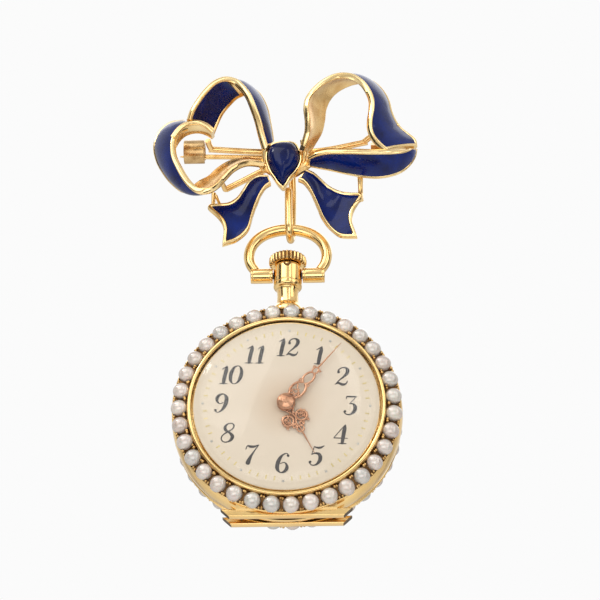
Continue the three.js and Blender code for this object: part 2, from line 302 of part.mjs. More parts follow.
const bezelProfile = [[11.95, 0.35], [11.95, 0.05], [12.15, -0.05], [12.4, 0.05], [12.55, 0.45], [14.2, 1.0], [14.35, 1.2], [14.3, 1.45], [12.5, 1.5], [12.25, 1.0], [12.25, 0.35]];
const barF = union(rod([-HINGE_HALF, WATCH_Y + BEZEL_HINGE_Y, WATCH_Z + HINGE_W], [HINGE_HALF, WATCH_Y + BEZEL_HINGE_Y, WATCH_Z + HINGE_W], HINGE_BAR_R, 10), box(-5.6, 5.6, WATCH_Y + 1.3, WATCH_Y + 2.0, WATCH_Z - 14.1, WATCH_Z - 13.6));
const bezelRing = turnY(bezelProfile, 40);
add('front_bezel', union(bezelRing, barF), GOLD);
// one ring of half pearls: a seat with a rounded rise for each pearl and a dip between neighbours
function pearlRing(y, sgn) {
  const steps = [0, 0.3, 0.7], pos = [], idx = [], m = 6, n = PEARL_COUNT * steps.length;
  for (let i = 0; i < n; i++) {
    const k = Math.floor(i / 3), s = steps[i % 3], a = 2 * Math.PI * (k + s) / PEARL_COUNT, top = i % 3 ? 1 : 0.25, wide = i % 3 ? 1 : 0.8;
    const seat = (r) => y - sgn * 0.3 * (r - PEARL_RING_R);
    const put = (r, h) => { const rr = PEARL_RING_R + (r - PEARL_RING_R) * wide; pos.push(rr * Math.cos(a), WATCH_Y + seat(rr) + sgn * h * PEARL_R, WATCH_Z + rr * Math.sin(a)); };
    put(PEARL_RING_R - 0.8, 0); put(PEARL_RING_R - 0.78, 0.35 * top); put(PEARL_RING_R - 0.35, 0.82 * top); put(PEARL_RING_R + 0.4, 0.82 * top); put(PEARL_RING_R + 0.86, 0.4 * top); put(PEARL_RING_R + 0.88, 0);
  }
  for (let i = 0; i < n; i++) for (let j = 0; j < m; j++) { const i2 = (i + 1) % n, j2 = (j + 1) % m; idx.push(i * m + j, i2 * m + j, i2 * m + j2, i * m + j, i2 * m + j2, i * m + j2); }
  return finish(pos, idx);
}
add('front_pearls', pearlRing(0.70, -1), PEARL);
// crystal sits inside the bezel's lip
add('crystal', turnY([[0, -2.3], [4, -2.15], [8, -1.75], [11.2, -0.95], [11.75, -0.2], [11.88, 0.15], [11.88, 0.42], [12.2, 0.42], [12.2, 0.75], [11.8, 0.75], [11.75, 0.3], [11.5, -0.2], [11.0, -0.65], [7.8, -1.35], [4, -1.75], [0, -1.9]], 32), GLASS);

const backProfile = [[12.5, 4.98], [14.25, 5.02], [14.35, 5.25], [14.2, 5.5], [12.6, 6.05], [12.0, 6.75], [10, 7.35], [6, 7.9], [0, 8.1], [0, 7.5], [6, 7.3], [10, 6.8], [12.1, 6.2], [12.4, 5.6]];
const barB = union(rod([-HINGE_HALF, WATCH_Y + BACK_HINGE_Y, WATCH_Z + HINGE_W], [HINGE_HALF, WATCH_Y + BACK_HINGE_Y, WATCH_Z + HINGE_W], HINGE_BAR_R, 10), box(-5.6, 5.6, WATCH_Y + 4.5, WATCH_Y + 5.2, WATCH_Z - 14.1, WATCH_Z - 13.6));
const backShell = turnY(backProfile, 36);
add('back_cover', union(backShell, barB), GOLD);
add('back_pearls', pearlRing(5.86, 1), PEARL);
add('back_enamel', turnY([[0, 8.13], [6, 7.93], [9.6, 7.46], [9.6, 7.6], [6, 8.08], [0, 8.3]], 32), ENAMEL);
add('cuvette', turnY([[0, 6.2], [11.6, 6.05], [11.95, 5.5], [12.05, 5.5], [12.0, 6.1], [11.5, 6.35], [0, 6.5]], 32), GOLD);

// ================= dial side =================
add('dial', turnY([[0.42, 0], [4, 0.037], [8, 0.147], [DIAL_R - 0.2, 0.3], [DIAL_R, 0.45], [DIAL_R, 0.7], [8, 0.55], [0.42, 0.4]], 32), DIAL);
function handPoly(len, deg, pts) {
  const a = Math.PI / 2 - deg * Math.PI / 180, c = Math.cos(a), s = Math.sin(a);
  return pts.map(([l, t]) => [l * len * c - t * s, l * len * s + t * c]);
}
const minutePts = [[0, -0.3], [0.08, -0.3], [0.2, -0.75], [0.32, -0.25], [0.45, -0.6], [0.58, -0.2], [0.75, -0.18], [1, -0.04], [1, 0.04], [0.75, 0.18], [0.58, 0.2], [0.45, 0.6], [0.32, 0.25], [0.2, 0.75], [0.08, 0.3], [0, 0.3]];
const hourPts = [[0, -0.35], [0.1, -0.3], [0.26, -1.15], [0.42, -0.95], [0.52, -0.3], [0.72, -0.35], [1, -0.04], [1, 0.04], [0.72, 0.35], [0.52, 0.3], [0.42, 0.95], [0.26, 1.15], [0.1, 0.3], [0, 0.35]];
add('minute_hand', cut(union(mPrism(handPoly(10.7, TIME_MINUTE_DEG, minutePts), -0.52, -0.37), disc(0, 0, 0.95, -0.56, -0.33, 16)), disc(0, 0, 0.26, -1, 2, 10)), ROSE);
add('hour_hand', cut(union(mPrism(handPoly(7.7, TIME_HOUR_DEG, hourPts), -0.27, -0.13), disc(0, 0, 0.9, -0.29, -0.1, 16)), disc(0, 0, 0.34, -1, 2, 10)), ROSE);
add('cannon_pinion', union(turnY([[0, -1.3], [0.5, -1.22], [0.95, -1.0], [1.12, -0.64], [0.24, -0.6], [0.24, 2.0], [0, 2.0]], 12), gear(8, 0.52, 0.4, 1.86, 2.08, 0, 0)), ROSE);
add('hour_wheel', cut(union(gear(20, 2.3, 2.05, 1.52, 1.72, 0, 0), disc(0, 0, 0.38, -0.07, 1.74, 12)), disc(0, 0, 0.27, -1, 3, 10)), GILT);
add('minute_wheel', union(gear(20, 1.6, 1.42, 1.86, 2.04, 2.18, 0.2), disc(2.18, 0.2, 0.2, 2.0, 2.14, 8)), GILT);

// ================= movement =================
const P = { barrel: [-3.8, 3.84], centre: [0, 0], third: [3.0, -1.9], fourth: [1.55, -4.4], escape: [-0.9, -5.1], lever: [-2.9, -4.5], balance: [-5.6, -3.3], crown: [0.9, 7.0] };
const holes = ['centre', 'third', 'fourth', 'escape', 'lever', 'balance'].map(k => disc(P[k][0], P[k][1], 0.24, 2, 6, 8));
add('main_plate', cut(disc(0, 0, 12.2, 2.2, 2.9, 36), ...holes, disc(...P.barrel, 0.6, 2, 3, 10)), GILT);
const arbor = (k, y0, y1, r = 0.4) => turnY([[0, y0 - 0.4], [0.18, y0 - 0.4], [0.18, y0], [r, y0], [r, y1], [0.18, y1], [0.18, y1 + 0.4], [0, y1 + 0.4]], 8, ...P[k]);
const rimWheel = (k, teeth, rt, y0, y1, rIn, spokes) => {
  const g = gear(teeth, rt, rt - 0.22, y0, y1, ...P[k]);
  const ring = cut(g, disc(P[k][0], P[k][1], rIn, y0 - 1, y1 + 1, 18)), parts = [ring];
  for (let i = 0; i < spokes; i++) { const a = Math.PI * 2 * i / spokes + 0.3, c = Math.cos(a), s = Math.sin(a), h = 0.16, L = rIn + 0.08; parts.push(mPrism([[h * s, -h * c], [L * c + h * s, L * s - h * c], [L * c - h * s, L * s + h * c], [-h * s, h * c]].map(([x, w]) => [x + P[k][0], w + P[k][1]]), y0, y1)); }
  return union(...parts);
};
add('centre_wheel', union(rimWheel('centre', 24, 2.98, 3.0, 3.2, 2.4, 4), arbor('centre', 2.95, 4.98, 0.45), gear(6, 0.62, 0.45, 3.6, 4.6, 0, 0)), GILT);
add('third_wheel', union(rimWheel('third', 20, 2.36, 4.2, 4.4, 1.9, 4), arbor('third', 2.95, 4.98, 0.38)), GILT);
add('fourth_wheel', union(rimWheel('fourth', 18, 2.1, 3.5, 3.7, 1.65, 4), arbor('fourth', 2.95, 4.98, 0.36)), GILT);
add('escape_wheel', union(rimWheel('escape', 15, 1.58, 4.0, 4.15, 1.1, 4), arbor('escape', 2.95, 4.98, 0.32)), STEEL);
{ const dx = P.balance[0] - P.lever[0], dw = P.balance[1] - P.lever[1], L = Math.hypot(dx, dw), c = dx / L, s = dw / L;
  const rot = (pts) => pts.map(([l, t]) => [P.lever[0] + l * c - t * s, P.lever[1] + l * s + t * c]);
  add('pallet_lever', union(mPrism(rot([[-0.35, -1.2], [0.15, -1.15], [0.25, -0.3], [2.05, -0.12], [2.3, -0.4], [2.3, 0.4], [2.05, 0.12], [0.25, 0.3], [0.15, 1.15], [-0.35, 1.2], [-0.15, 0.3], [-0.15, -0.3]]), 3.72, 3.9), arbor('lever', 2.95, 4.98, 0.22)), STEEL); }
add('balance_wheel', union(cut(disc(...P.balance, 2.5, 4.3, 4.55, 24), disc(...P.balance, 2.1, 4, 5, 24)), mPrism([[-2.2, -0.17], [2.2, -0.17], [2.2, 0.17], [-2.2, 0.17]].map(([x, w]) => [x + P.balance[0], w + P.balance[1]]), 4.3, 4.5), disc(...P.balance, 0.4, 3.75, 3.95, 10), arbor('balance', 2.95, 4.98, 0.26)), GILT);
{ const pts = [], turns = 3, n = 48; for (let i = 0; i <= n; i++) { const a = turns * 2 * Math.PI * i / n, r = 0.4 + 1.3 * i / n; pts.push([P.balance[0] + r * Math.cos(a), WATCH_Y + 4.75, WATCH_Z + P.balance[1] + r * Math.sin(a)]); }
  add('hairspring', tube(pts, 0.06, 48, 3), BLUED); }
const barrelG = rimWheel('barrel', 30, 4.74, 3.35, 3.6, 4.3, 0);
add('mainspring_barrel', union(barrelG, disc(...P.barrel, 4.35, 3.35, 4.75, 24), turnY([[0, 2.5], [0.5, 2.5], [0.5, 4.95], [0, 4.95]], 10, ...P.barrel)), GILT);
const foot = (x, w, r = 0.8) => disc(x, w, r, 2.93, 5.2, 10);
add('barrel_bridge', cut(union(mPrism([[-11.2, 1.2], [-7.0, -0.2], [-1.2, 1.6], [1.6, 2.2], [4.6, 1.0], [10.6, 1.4], [10.4, 4.2], [8.6, 7.2], [5.6, 9.7], [2.4, 10.9], [-2.4, 10.9], [-5.6, 9.7], [-8.6, 7.2], [-10.8, 4.0]], 5.05, 5.62), foot(-9.9, 2.4), foot(3.8, 8.6), foot(8.6, 2.6)), turnZ([[0, 7], [1.0, 7], [1.0, 12], [0, 12]], 10)), GILT);
add('train_bridge', cut(union(mPrism([[-2.6, -5.0], [-1.6, -3.2], [-1.5, 0.9], [1.2, 1.6], [4.6, 0.4], [8.4, -4.4], [7.4, -6.9], [2.2, -10.4], [-0.6, -10.6], [-2.2, -7.6]], 5.05, 5.62), foot(7.0, -5.4), foot(0.8, -9.3)), ...holes), GILT);
add('balance_cock', cut(union(mPrism([[-10.4, -5.0], [-8.6, -6.9], [-7.2, -5.0], [-4.6, -3.9], [-4.6, -2.7], [-6.0, -2.3], [-8.0, -3.2]], 5.05, 5.55), foot(-8.9, -5.6, 0.7)), ...holes), GILT);
add('ratchet_wheel', gear(32, 3.2, 3.0, 5.68, 5.9, ...P.barrel), STEEL);
add('crown_wheel', gear(24, 2.38, 2.16, 5.68, 5.9, ...P.crown), STEEL);
add('click', mPrism([[-7.9, 5.9], [-7.25, 5.3], [-7.1, 4.7], [-7.5, 4.4], [-8.1, 4.9]], 5.68, 5.86), STEEL);

export default root;
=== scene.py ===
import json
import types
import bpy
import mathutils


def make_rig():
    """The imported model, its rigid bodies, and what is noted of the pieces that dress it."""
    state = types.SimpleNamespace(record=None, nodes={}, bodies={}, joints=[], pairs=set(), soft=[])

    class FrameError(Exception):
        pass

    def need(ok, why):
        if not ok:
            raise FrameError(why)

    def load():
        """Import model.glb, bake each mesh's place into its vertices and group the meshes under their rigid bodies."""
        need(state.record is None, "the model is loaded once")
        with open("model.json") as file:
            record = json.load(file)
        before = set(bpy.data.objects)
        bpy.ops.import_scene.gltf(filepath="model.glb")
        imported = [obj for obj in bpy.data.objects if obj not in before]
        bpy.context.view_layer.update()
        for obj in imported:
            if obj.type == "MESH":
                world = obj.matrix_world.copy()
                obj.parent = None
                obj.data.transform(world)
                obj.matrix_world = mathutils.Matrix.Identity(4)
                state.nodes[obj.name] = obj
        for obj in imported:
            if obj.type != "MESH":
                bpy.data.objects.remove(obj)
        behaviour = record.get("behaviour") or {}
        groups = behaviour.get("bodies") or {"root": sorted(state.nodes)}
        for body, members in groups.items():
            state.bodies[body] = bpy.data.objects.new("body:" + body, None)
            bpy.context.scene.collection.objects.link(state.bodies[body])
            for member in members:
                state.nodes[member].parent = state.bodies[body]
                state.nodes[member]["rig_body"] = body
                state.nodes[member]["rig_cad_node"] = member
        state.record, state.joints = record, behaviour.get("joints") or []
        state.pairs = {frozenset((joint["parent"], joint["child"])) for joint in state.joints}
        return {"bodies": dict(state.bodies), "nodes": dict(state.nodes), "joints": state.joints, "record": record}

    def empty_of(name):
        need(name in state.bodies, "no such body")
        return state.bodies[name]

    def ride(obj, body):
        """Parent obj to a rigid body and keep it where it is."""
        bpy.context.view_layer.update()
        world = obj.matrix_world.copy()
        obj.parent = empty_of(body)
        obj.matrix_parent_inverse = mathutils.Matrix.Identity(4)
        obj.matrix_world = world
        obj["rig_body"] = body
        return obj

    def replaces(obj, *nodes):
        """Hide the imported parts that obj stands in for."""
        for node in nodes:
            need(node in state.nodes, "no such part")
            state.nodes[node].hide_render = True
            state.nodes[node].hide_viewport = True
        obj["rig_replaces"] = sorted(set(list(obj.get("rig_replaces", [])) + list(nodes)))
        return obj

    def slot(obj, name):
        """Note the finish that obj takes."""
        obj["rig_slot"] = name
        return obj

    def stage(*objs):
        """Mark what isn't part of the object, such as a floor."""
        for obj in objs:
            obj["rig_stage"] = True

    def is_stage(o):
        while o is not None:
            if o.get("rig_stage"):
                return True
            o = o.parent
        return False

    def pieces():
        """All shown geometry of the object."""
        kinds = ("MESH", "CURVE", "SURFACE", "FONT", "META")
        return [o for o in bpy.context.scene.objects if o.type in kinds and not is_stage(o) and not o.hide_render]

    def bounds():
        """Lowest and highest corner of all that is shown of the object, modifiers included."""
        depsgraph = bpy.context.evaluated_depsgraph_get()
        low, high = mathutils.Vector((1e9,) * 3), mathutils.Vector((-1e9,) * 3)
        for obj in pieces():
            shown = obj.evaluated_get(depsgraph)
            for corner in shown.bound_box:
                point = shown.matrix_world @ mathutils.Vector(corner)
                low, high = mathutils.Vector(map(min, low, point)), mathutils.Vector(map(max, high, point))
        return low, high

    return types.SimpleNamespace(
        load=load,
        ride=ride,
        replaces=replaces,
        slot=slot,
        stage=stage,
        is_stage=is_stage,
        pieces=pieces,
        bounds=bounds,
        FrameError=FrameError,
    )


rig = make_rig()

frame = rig.load()
import bpy, math, json, random
import numpy as np
from mathutils import Matrix, Vector
CAD_BOX = [list(map(float, c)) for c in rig.bounds()]
random.seed(7)
WY, WZ = -5.0, -39.3          # bezel plane and dial centre, mm
S = 0.001

# ---------------------------------------------------------------- camera
A, E = math.radians(2.0), math.radians(29.3)
fwd = Vector((-math.sin(A) * math.cos(E), math.cos(A) * math.cos(E), math.sin(E)))
rgt = Vector((math.cos(A), math.sin(A), 0.0))
upv = rgt.cross(fwd)
cam_data = bpy.data.cameras.new("camera")
cam = bpy.data.objects.new("camera", cam_data)
bpy.context.scene.collection.objects.link(cam)
loc = Vector((11.068, -272.836, -174.942)) * S
cam.matrix_world = Matrix(((rgt.x, upv.x, -fwd.x, loc.x), (rgt.y, upv.y, -fwd.y, loc.y), (rgt.z, upv.z, -fwd.z, loc.z), (0, 0, 0, 1)))
cam_data.sensor_width = 36.0
cam_data.lens = 144.9
cam_data.clip_start = 0.005
cam_data.clip_end = 20.0
bpy.context.scene.camera = cam

# ---------------------------------------------------------------- materials
def nodes_of(name):
    m = bpy.data.materials.new(name)
    m.use_nodes = True
    nt = m.node_tree
    b = nt.nodes.get("Principled BSDF")
    return m, nt, b
def set_in(b, **kw):
    for k, v in kw.items():
        k = k.replace("_", " ")
        if k in b.inputs:
            b.inputs[k].default_value = v
def coords(nt):
    return nt.nodes.new("ShaderNodeTexCoord").outputs["Object"]
def noise(nt, scale, detail=3.0, rough=0.5, vec=None, dist=0.0):
    n = nt.nodes.new("ShaderNodeTexNoise")
    n.inputs["Scale"].default_value = scale
    n.inputs["Detail"].default_value = detail
    n.inputs["Roughness"].default_value = rough
    n.inputs["Distortion"].default_value = dist
    nt.links.new(vec if vec is not None else coords(nt), n.inputs["Vector"])
    return n.outputs["Fac"]
def ramp(nt, fac, stops):
    r = nt.nodes.new("ShaderNodeValToRGB")
    el = r.color_ramp.elements
    while len(el) > 1:
        el.remove(el[-1])
    el[0].position, el[0].color = stops[0][0], (*stops[0][1], 1)
    for p, c in stops[1:]:
        e = el.new(p); e.color = (*c, 1)
    nt.links.new(fac, r.inputs["Fac"])
    return r.outputs["Color"]
def bump(nt, b, h, strength, dist, prev=None):
    n = nt.nodes.new("ShaderNodeBump")
    n.inputs["Strength"].default_value = strength
    n.inputs["Distance"].default_value = dist
    nt.links.new(h, n.inputs["Height"])
    if prev is not None:
        nt.links.new(prev, n.inputs["Normal"])
    if b is not None:
        nt.links.new(n.outputs["Normal"], b.inputs["Normal"])
    return n.outputs["Normal"]
def mathn(nt, op, a, b=None, c=None):
    n = nt.nodes.new("ShaderNodeMath"); n.operation = op
    for i, v in enumerate((a, b, c)):
        if v is None: continue
        if isinstance(v, (int, float)): n.inputs[i].default_value = v
        else: nt.links.new(v, n.inputs[i])
    return n.outputs[0]
def gold(name, base=(0.83, 0.55, 0.20), dark=(0.55, 0.31, 0.08), rough=0.2, bumps=0.25, bscale=900.0, tone=180.0):
    m, nt, b = nodes_of(name)
    c = ramp(nt, noise(nt, tone, 4.0, 0.6), [(0.30, dark), (0.46, tuple(0.35 * d + 0.65 * g for d, g in zip(dark, base))), (0.62, base)])
    nt.links.new(c, b.inputs["Base Color"])
    set_in(b, Metallic=1.0)
    r = nt.nodes.new("ShaderNodeMapRange")
    r.inputs["From Min"].default_value = 0.3; r.inputs["From Max"].default_value = 0.7
    r.inputs["To Min"].default_value = rough * 0.75; r.inputs["To Max"].default_value = rough * 1.35
    nt.links.new(noise(nt, 600.0, 3.0, 0.6), r.inputs["Value"])
    nt.links.new(r.outputs[0], b.inputs["Roughness"])
    if bumps:
        bump(nt, b, noise(nt, bscale, 3.0, 0.55), bumps, 0.00005)
    return m
def enamel(name, deep=(0.0004, 0.0020, 0.034), light=(0.0008, 0.0125, 0.128), rough=0.06):
    m, nt, b = nodes_of(name)
    c = ramp(nt, noise(nt, 260.0, 4.0, 0.6, dist=0.4), [(0.32, deep), (0.70, light)])
    nt.links.new(c, b.inputs["Base Color"])
    set_in(b, Roughness=0.25, Specular_IOR_Level=0.08, Coat_Weight=0.36, Coat_Roughness=rough, Coat_IOR=1.42)
    bump(nt, b, noise(nt, 520.0, 2.0, 0.5), 0.35, 0.00005)
    return m
GOLD = gold("gold_polished")
GOLD_CAST = gold("gold_cast", base=(0.88, 0.60, 0.26), dark=(0.60, 0.32, 0.09), rough=0.24, bumps=0.35, bscale=1500.0, tone=420.0)
GOLD_EDGE = gold("gold_bright", base=(0.93, 0.71, 0.36), dark=(0.78, 0.50, 0.19), rough=0.17, bumps=0.12, bscale=1200.0)
# very dark gold painted into grooves, pearl seats and the collar notch: painted shade in recesses
GOLD_PAINTED_RECESS_SHADE = gold("gold_painted_recess_shade", base=(0.22, 0.115, 0.045), dark=(0.06, 0.028, 0.010), rough=0.42, bumps=0.8, bscale=2600.0, tone=900.0)
GOLD_CASE = gold("gold_case", base=(0.88, 0.62, 0.27), dark=(0.78, 0.50, 0.19), rough=0.16, bumps=0.06, bscale=700.0)
# darker, browner gold for the catch: painted shade
GOLD_SHADE = gold("gold_catch_painted_shade", base=(0.62, 0.42, 0.20), dark=(0.34, 0.20, 0.08), rough=0.3, bumps=0.3, bscale=1300.0, tone=600.0)
GOLD_PRONG = gold("gold_prong", base=(0.72, 0.47, 0.19), dark=(0.40, 0.22, 0.07), rough=0.3, bumps=0.3, bscale=2400.0)
ROSE = gold("rose_gold", base=(0.66, 0.36, 0.23), dark=(0.42, 0.20, 0.12), rough=0.3, bumps=0.3, bscale=2400.0, tone=700.0)
DARKEND = gold("hinge_end", base=(0.16, 0.12, 0.08), dark=(0.06, 0.045, 0.03), rough=0.5, bumps=0.5, bscale=3000.0)
ENAMEL = enamel("enamel_blue")
ENAMEL_KNOT = enamel("enamel_knot", deep=(0.0004, 0.0018, 0.030), light=(0.0010, 0.009, 0.085), rough=0.05)

def steel(name, base=(0.52, 0.53, 0.56), rough=0.25):
    m, nt, b = nodes_of(name)
    c = ramp(nt, noise(nt, 500.0), [(0.3, tuple(x * 0.7 for x in base)), (0.7, base)])
    nt.links.new(c, b.inputs["Base Color"])
    set_in(b, Metallic=1.0, Roughness=rough)
    bump(nt, b, noise(nt, 3000.0), 0.15, 0.00002)
    return m
STEEL = steel("steel_polished"); SCREWDARK = steel("screw_dark", (0.10, 0.085, 0.07), 0.45); BLUED = steel("steel_blued", (0.03, 0.06, 0.26), 0.22)

def pearl_mat():
    m, nt, b = nodes_of("pearl")
    info = nt.nodes.new("ShaderNodeNewGeometry").outputs["Random Per Island"]
    a = ramp(nt, info, [(0.0, (0.52, 0.43, 0.37)), (0.3, (0.60, 0.54, 0.46)), (0.6, (0.50, 0.49, 0.44)), (0.8, (0.62, 0.54, 0.47)), (1.0, (0.68, 0.63, 0.54))])
    n = ramp(nt, noise(nt, 420.0, 3.0, 0.6), [(0.3, (0.86, 0.82, 0.84)), (0.7, (1.0, 1.0, 1.0))])
    mix = nt.nodes.new("ShaderNodeMix"); mix.data_type = "RGBA"; mix.blend_type = "MULTIPLY"
    mix.inputs["Factor"].default_value = 0.8
    nt.links.new(a, mix.inputs["A"]); nt.links.new(n, mix.inputs["B"])
    # the pearl colour is multiplied darker towards the limb by the facing weight: painted shade
    lw = nt.nodes.new("ShaderNodeLayerWeight"); lw.inputs["Blend"].default_value = 0.32
    painted_shade_limb = nt.nodes.new("ShaderNodeMix"); painted_shade_limb.data_type = "RGBA"; painted_shade_limb.blend_type = "MULTIPLY"
    nt.links.new(lw.outputs["Facing"], painted_shade_limb.inputs["Factor"]); nt.links.new(mix.outputs["Result"], painted_shade_limb.inputs["A"]); painted_shade_limb.inputs["B"].default_value = (0.34, 0.26, 0.21, 1)
    nt.links.new(painted_shade_limb.outputs["Result"], b.inputs["Base Color"])
    set_in(b, Metallic=0.12, Roughness=0.30, Coat_Weight=1.0, Coat_Roughness=0.10, Coat_IOR=1.7, Sheen_Weight=0.1, Subsurface_Weight=0.12, Subsurface_Scale=0.0006, Specular_IOR_Level=0.7)
    bump(nt, b, noise(nt, 1500.0), 0.12, 0.00003)
    return m
PEARL = pearl_mat()

def dial_mat():
    m, nt, b = nodes_of("dial_enamel")
    tc = coords(nt)
    mp = nt.nodes.new("ShaderNodeMapping"); mp.vector_type = "POINT"
    mp.inputs["Location"].default_value = (0.0, 0.0, -WZ * S)
    nt.links.new(tc, mp.inputs["Vector"])
    ln = nt.nodes.new("ShaderNodeVectorMath"); ln.operation = "LENGTH"
    sep = nt.nodes.new("ShaderNodeSeparateXYZ"); nt.links.new(mp.outputs[0], sep.inputs[0])
    comb = nt.nodes.new("ShaderNodeCombineXYZ"); nt.links.new(sep.outputs["X"], comb.inputs["X"]); nt.links.new(sep.outputs["Z"], comb.inputs["Z"])
    nt.links.new(comb.outputs[0], ln.inputs[0])
    r = mathn(nt, "DIVIDE", ln.outputs["Value"], 0.0121)
    col = ramp(nt, r, [(0.0, (0.62, 0.47, 0.33)), (0.16, (0.69, 0.55, 0.41)), (0.42, (0.76, 0.655, 0.525)), (0.80, (0.77, 0.67, 0.535)), (0.95, (0.73, 0.63, 0.49)), (1.0, (0.62, 0.51, 0.37))])
    n = ramp(nt, noise(nt, 240.0, 5.0, 0.6), [(0.3, (0.835, 0.82, 0.845)), (0.7, (0.872, 0.858, 0.897))])
    mix = nt.nodes.new("ShaderNodeMix"); mix.data_type = "RGBA"; mix.blend_type = "MULTIPLY"; mix.inputs["Factor"].default_value = 1.0
    nt.links.new(col, mix.inputs["A"]); nt.links.new(n, mix.inputs["B"])
    nt.links.new(mix.outputs["Result"], b.inputs["Base Color"])
    set_in(b, Roughness=0.35, Coat_Weight=0.35, Coat_Roughness=0.15)
    bump(nt, b, noise(nt, 900.0), 0.05, 0.00003)
    return m
DIAL = dial_mat()
def ink(name, col, rough=0.4, metal=0.0, var=0.6):
    m, nt, b = nodes_of(name)
    c = ramp(nt, noise(nt, 2600.0, 3.0, 0.6), [(0.3, tuple(x * var for x in col)), (0.7, col)])
    nt.links.new(c, b.inputs["Base Color"])
    set_in(b, Roughness=rough, Metallic=metal)
    return m
INK = ink("dial_ink", (0.075, 0.068, 0.072)); YELLOW = ink("dial_gold_paint", (0.82, 0.66, 0.25), 0.35, 0.25); STARW = ink("dial_silver_mark", (0.62, 0.60, 0.58), 0.3, 0.6)

def glass_mat():
    m = bpy.data.materials.new("crystal_glass"); m.use_nodes = True
    nt = m.node_tree; nt.nodes.clear()
    out = nt.nodes.new("ShaderNodeOutputMaterial")
    tr = nt.nodes.new("ShaderNodeBsdfTransparent"); gl = nt.nodes.new("ShaderNodeBsdfGlossy")
    tr.inputs["Color"].default_value = (0.97, 0.97, 0.955, 1)
    gl.inputs["Roughness"].default_value = 0.03
    lw = nt.nodes.new("ShaderNodeLayerWeight"); lw.inputs["Blend"].default_value = 0.5
    fac = mathn(nt, "MULTIPLY_ADD", mathn(nt, "POWER", lw.outputs["Facing"], 4.0), 0.16, 0.012)
    mx = nt.nodes.new("ShaderNodeMixShader")
    nz = noise(nt, 150.0, 2.0, 0.5)
    bp = nt.nodes.new("ShaderNodeBump"); bp.inputs["Strength"].default_value = 0.02; bp.inputs["Distance"].default_value = 0.0001
    nt.links.new(nz, bp.inputs["Height"]); nt.links.new(bp.outputs[0], gl.inputs["Normal"])
    nt.links.new(fac, mx.inputs[0]); nt.links.new(tr.outputs[0], mx.inputs[1]); nt.links.new(gl.outputs[0], mx.inputs[2])
    nt.links.new(mx.outputs[0], out.inputs["Surface"])
    return m
GLASS = glass_mat()
def gilt_mat(name, kind="grain"):
    m, nt, b = nodes_of(name)
    base, dark = (0.74, 0.56, 0.26), (0.52, 0.36, 0.14)
    tc = coords(nt)
    c = ramp(nt, noise(nt, 900.0, 4.0), [(0.3, dark), (0.65, base)])
    nt.links.new(c, b.inputs["Base Color"])
    set_in(b, Metallic=1.0, Roughness=0.34)
    if kind == "stripes":
        w = nt.nodes.new("ShaderNodeTexWave"); w.wave_type = "BANDS"; w.bands_direction = "DIAGONAL"; w.inputs["Scale"].default_value = 210.0; w.inputs["Distortion"].default_value = 0.0
        nt.links.new(tc, w.inputs["Vector"])
        bump(nt, b, w.outputs["Fac"], 0.5, 0.00008, bump(nt, None, noise(nt, 4000.0), 0.2, 0.00003))
    else:
        bump(nt, b, noise(nt, 4500.0, 2.0), 0.5, 0.00003)
    return m
GILT = gilt_mat("gilt_grained"); GILT_STRIPE = gilt_mat("gilt_striped", "stripes")
def ruby():
    m, nt, b = nodes_of("ruby")
    c = ramp(nt, noise(nt, 2000.0), [(0.3, (0.35, 0.005, 0.03)), (0.7, (0.65, 0.03, 0.09))])
    nt.links.new(c, b.inputs["Base Color"]); set_in(b, Roughness=0.08, Coat_Weight=1.0)
    return m
RUBY = ruby()
def guilloche():
    m, nt, b = nodes_of("enamel_guilloche")
    tc = coords(nt)
    sep = nt.nodes.new("ShaderNodeSeparateXYZ"); nt.links.new(tc, sep.inputs[0])
    z = mathn(nt, "ADD", sep.outputs["Z"], -WZ * S)
    ang = mathn(nt, "ARCTAN2", z, sep.outputs["X"])
    rad = mathn(nt, "SQRT", mathn(nt, "ADD", mathn(nt, "MULTIPLY", z, z), mathn(nt, "MULTIPLY", sep.outputs["X"], sep.outputs["X"])))
    rays = mathn(nt, "SINE", mathn(nt, "ADD", mathn(nt, "MULTIPLY", ang, 36.0), mathn(nt, "MULTIPLY", mathn(nt, "SINE", mathn(nt, "MULTIPLY", rad, 5200.0)), 1.6)))
    h = mathn(nt, "MULTIPLY_ADD", rays, 0.5, 0.5)
    c = ramp(nt, h, [(0.0, (0.0010, 0.0035, 0.045)), (1.0, (0.006, 0.020, 0.170))])
    nt.links.new(c, b.inputs["Base Color"])
    set_in(b, Roughness=0.25, Specular_IOR_Level=0.15, Coat_Weight=0.5, Coat_Roughness=0.05, Metallic=0.1)
    bump(nt, b, h, 0.35, 0.0001)
    return m
GUILLOCHE = guilloche()

# ---------------------------------------------------------------- mesh helpers
def obj(name, verts, faces, mat, smooth=True, body=None, rep=(), slot=None, mats=None, fmat=None, angle=None):
    me = bpy.data.meshes.new(name)
    me.from_pydata([tuple(float(c) * S for c in v) for v in verts], [], [tuple(int(i) for i in f) for f in faces])
    me.validate(); me.update()
    for mm in (mats or [mat]):
        me.materials.append(mm)
    if fmat is not None:
        for p, k in zip(me.polygons, fmat): p.material_index = k
    o = bpy.data.objects.new(name, me)
    bpy.context.scene.collection.objects.link(o)
    import bmesh
    bm = bmesh.new(); bm.from_mesh(me); bmesh.ops.remove_doubles(bm, verts=bm.verts, dist=1e-8); bmesh.ops.recalc_face_normals(bm, faces=bm.faces)
    if smooth:
        lim = math.radians(angle if angle else 40)
        for f in bm.faces: f.smooth = True
        for e in bm.edges:
            if len(e.link_faces) == 2 and e.calc_face_angle(0) > lim: e.smooth = False
    bm.to_mesh(me); bm.free()
    if body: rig.ride(o, body)
    if rep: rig.replaces(o, *rep)
    if slot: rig.slot(o, slot)
    return o
class Acc:
    """collects several shells into one mesh"""
    def __init__(self): self.v, self.f, self.m = [], [], []
    def add(self, v, f, k=0):
        n = len(self.v); self.v += [tuple(p) for p in v]; self.f += [tuple(i + n for i in q) for q in f]; self.m += [k] * len(f)
        return self
